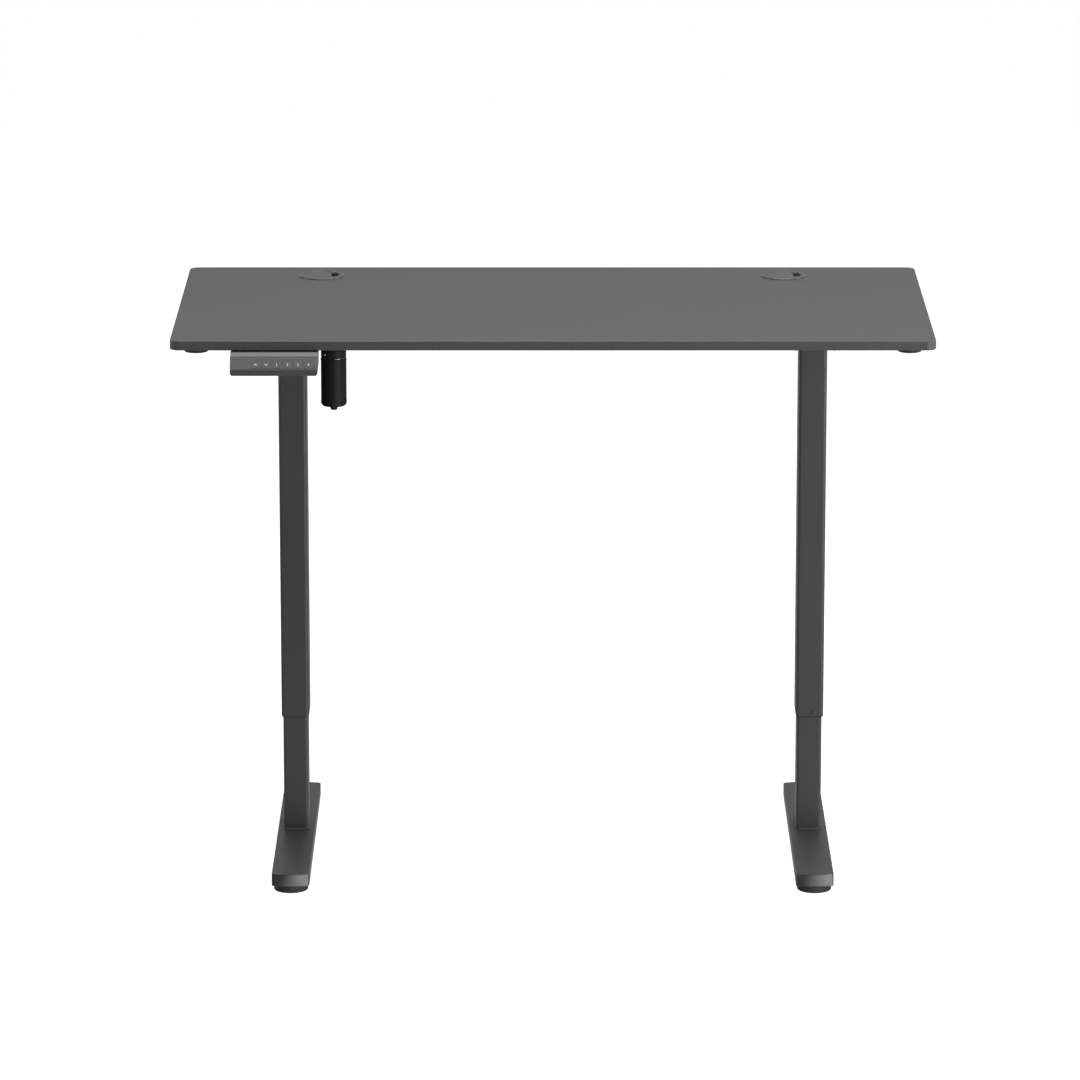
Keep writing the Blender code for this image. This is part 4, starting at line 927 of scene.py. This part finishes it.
def make_backdrop():
    """A white sphere around everything, which only the camera sees."""
    bm = bmesh.new()
    bmesh.ops.create_uvsphere(bm, u_segments=48, v_segments=24, radius=60.0)
    sky = mesh_object("backdrop", bm)
    tree = Tree(bpy.data.materials.new("backdrop"))
    tree.show(tree.add("Emission", "Emission", {"Strength": 1.0}))
    sky.data.materials.append(tree.owner)
    sky.visible_diffuse = sky.visible_glossy = sky.visible_transmission = sky.visible_shadow = False
    return sky


def make_world():
    """Light from all around: a little from above and behind, and most from low at the front right."""
    world = bpy.data.worlds.new("studio")
    bpy.context.scene.world = world
    tree = Tree(world)
    toward = tree.place.node.outputs["Generated"]

    def ramp(axis, low, high, first, last):
        value = tree.add("SeparateXYZ", axis, {"Vector": toward})
        return tree.spread(value, first, last, (low, high), interpolation_type="SMOOTHSTEP")

    def both(operation, first, second):
        return tree.add("Math", "Value", {0: first, 1: second}, operation=operation)

    beside, within = ramp("X", 0.22, 0.42, 0.0, 2.9), ramp("X", 0.58, 0.74, 1.0, 0.0)
    ahead, below = ramp("Y", -0.4, 0.1, 1.0, 0.0), ramp("Z", -0.15, 0.15, 1.0, 0.0)
    behind, above = ramp("Y", 0.3, 0.9, 0.0, 0.60), ramp("Z", 0.0, 0.8, 0.0, 0.12)
    low_right = both("MULTIPLY", both("MULTIPLY", beside, within), both("MULTIPLY", ahead, below))
    total = both("ADD", both("ADD", low_right, behind), above)
    tree.feed(tree.nodes["Background"], {"Color": (1, 1, 1, 1), "Strength": total})


def make_studio():
    floor, sky = make_floor(), make_backdrop()
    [foot_glint_card(sign * COLUMN_X) for sign in SIDES.values()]
    make_world()

    def softbox(name, place, target, size, power):
        data = bpy.data.lights.new(name, "AREA")
        data.shape, data.size, data.size_y, data.energy = "RECTANGLE", size[0], size[1], power
        lamp = bpy.data.objects.new(name, data)
        lamp.location = place
        lamp.rotation_euler = (Vector(target) - Vector(place)).to_track_quat("-Z", "Y").to_euler()
        bpy.context.scene.collection.objects.link(lamp)

    softbox("overhead", (0.2, -0.4, 3.6), (0, 0, 0.9), (3.2, 2.4), 138)
    softbox("right_key", (2.6, -2.6, 1.3), (0.2, 0, 0.5), (1.4, 1.8), 60)
    softbox("right_side", (3.0, 0, 1.4), (0, 0, 0.6), (1.6, 2.0), 60)
    softbox("left_side", (-3.0, 0, 1.4), (0, 0, 0.6), (1.6, 2.0), 30)
    softbox("right_low", (2.4, -3.2, 0.5), (0.2, 0, 0.2), (1.6, 0.9), 30)

    view = bpy.context.scene.view_settings
    view.view_transform, view.look, view.exposure, view.gamma = "Standard", "None", 0.0, 1.0


# ---- assembly
def dress_frame():
    """The record's finish on each CAD node that stays in view."""
    wanted = {entry["node"]: entry["material_slot"] for entry in RECORD["subparts"]}
    for name, node in frame["nodes"].items():
        if node.hide_render:
            continue
        slot = wanted[name]
        node.data.materials.clear()
        node.data.materials.append(FINISHES[slot])


FINISHES = {name: finish_of(name, *look[:-1], **look[-1]) for name, look in FINISH_TABLE.items()}
FINISHES["circuit_board"] = circuit_finish()

make_camera()
build_board()
build_motor()
build_keypad()
build_control_box()
for end_name, end_sense in ENDS.items():
    build_rails(end_name, end_sense)
for side_name, side_sign in SIDES.items():
    build_grommet(side_name, side_sign)
    build_bracket(side_name, side_sign)
    build_gear_unit(side_name, side_sign)
    build_upper_column(side_name, side_sign)
    build_lower_column(side_name, side_sign)
    build_foot(side_name, side_sign)
    for end_name, end_sense in ENDS.items():
        build_disc(side_name, side_sign, end_name, end_sense)
        build_pad(side_name, side_sign, end_name, end_sense)
dress_frame()
make_studio()
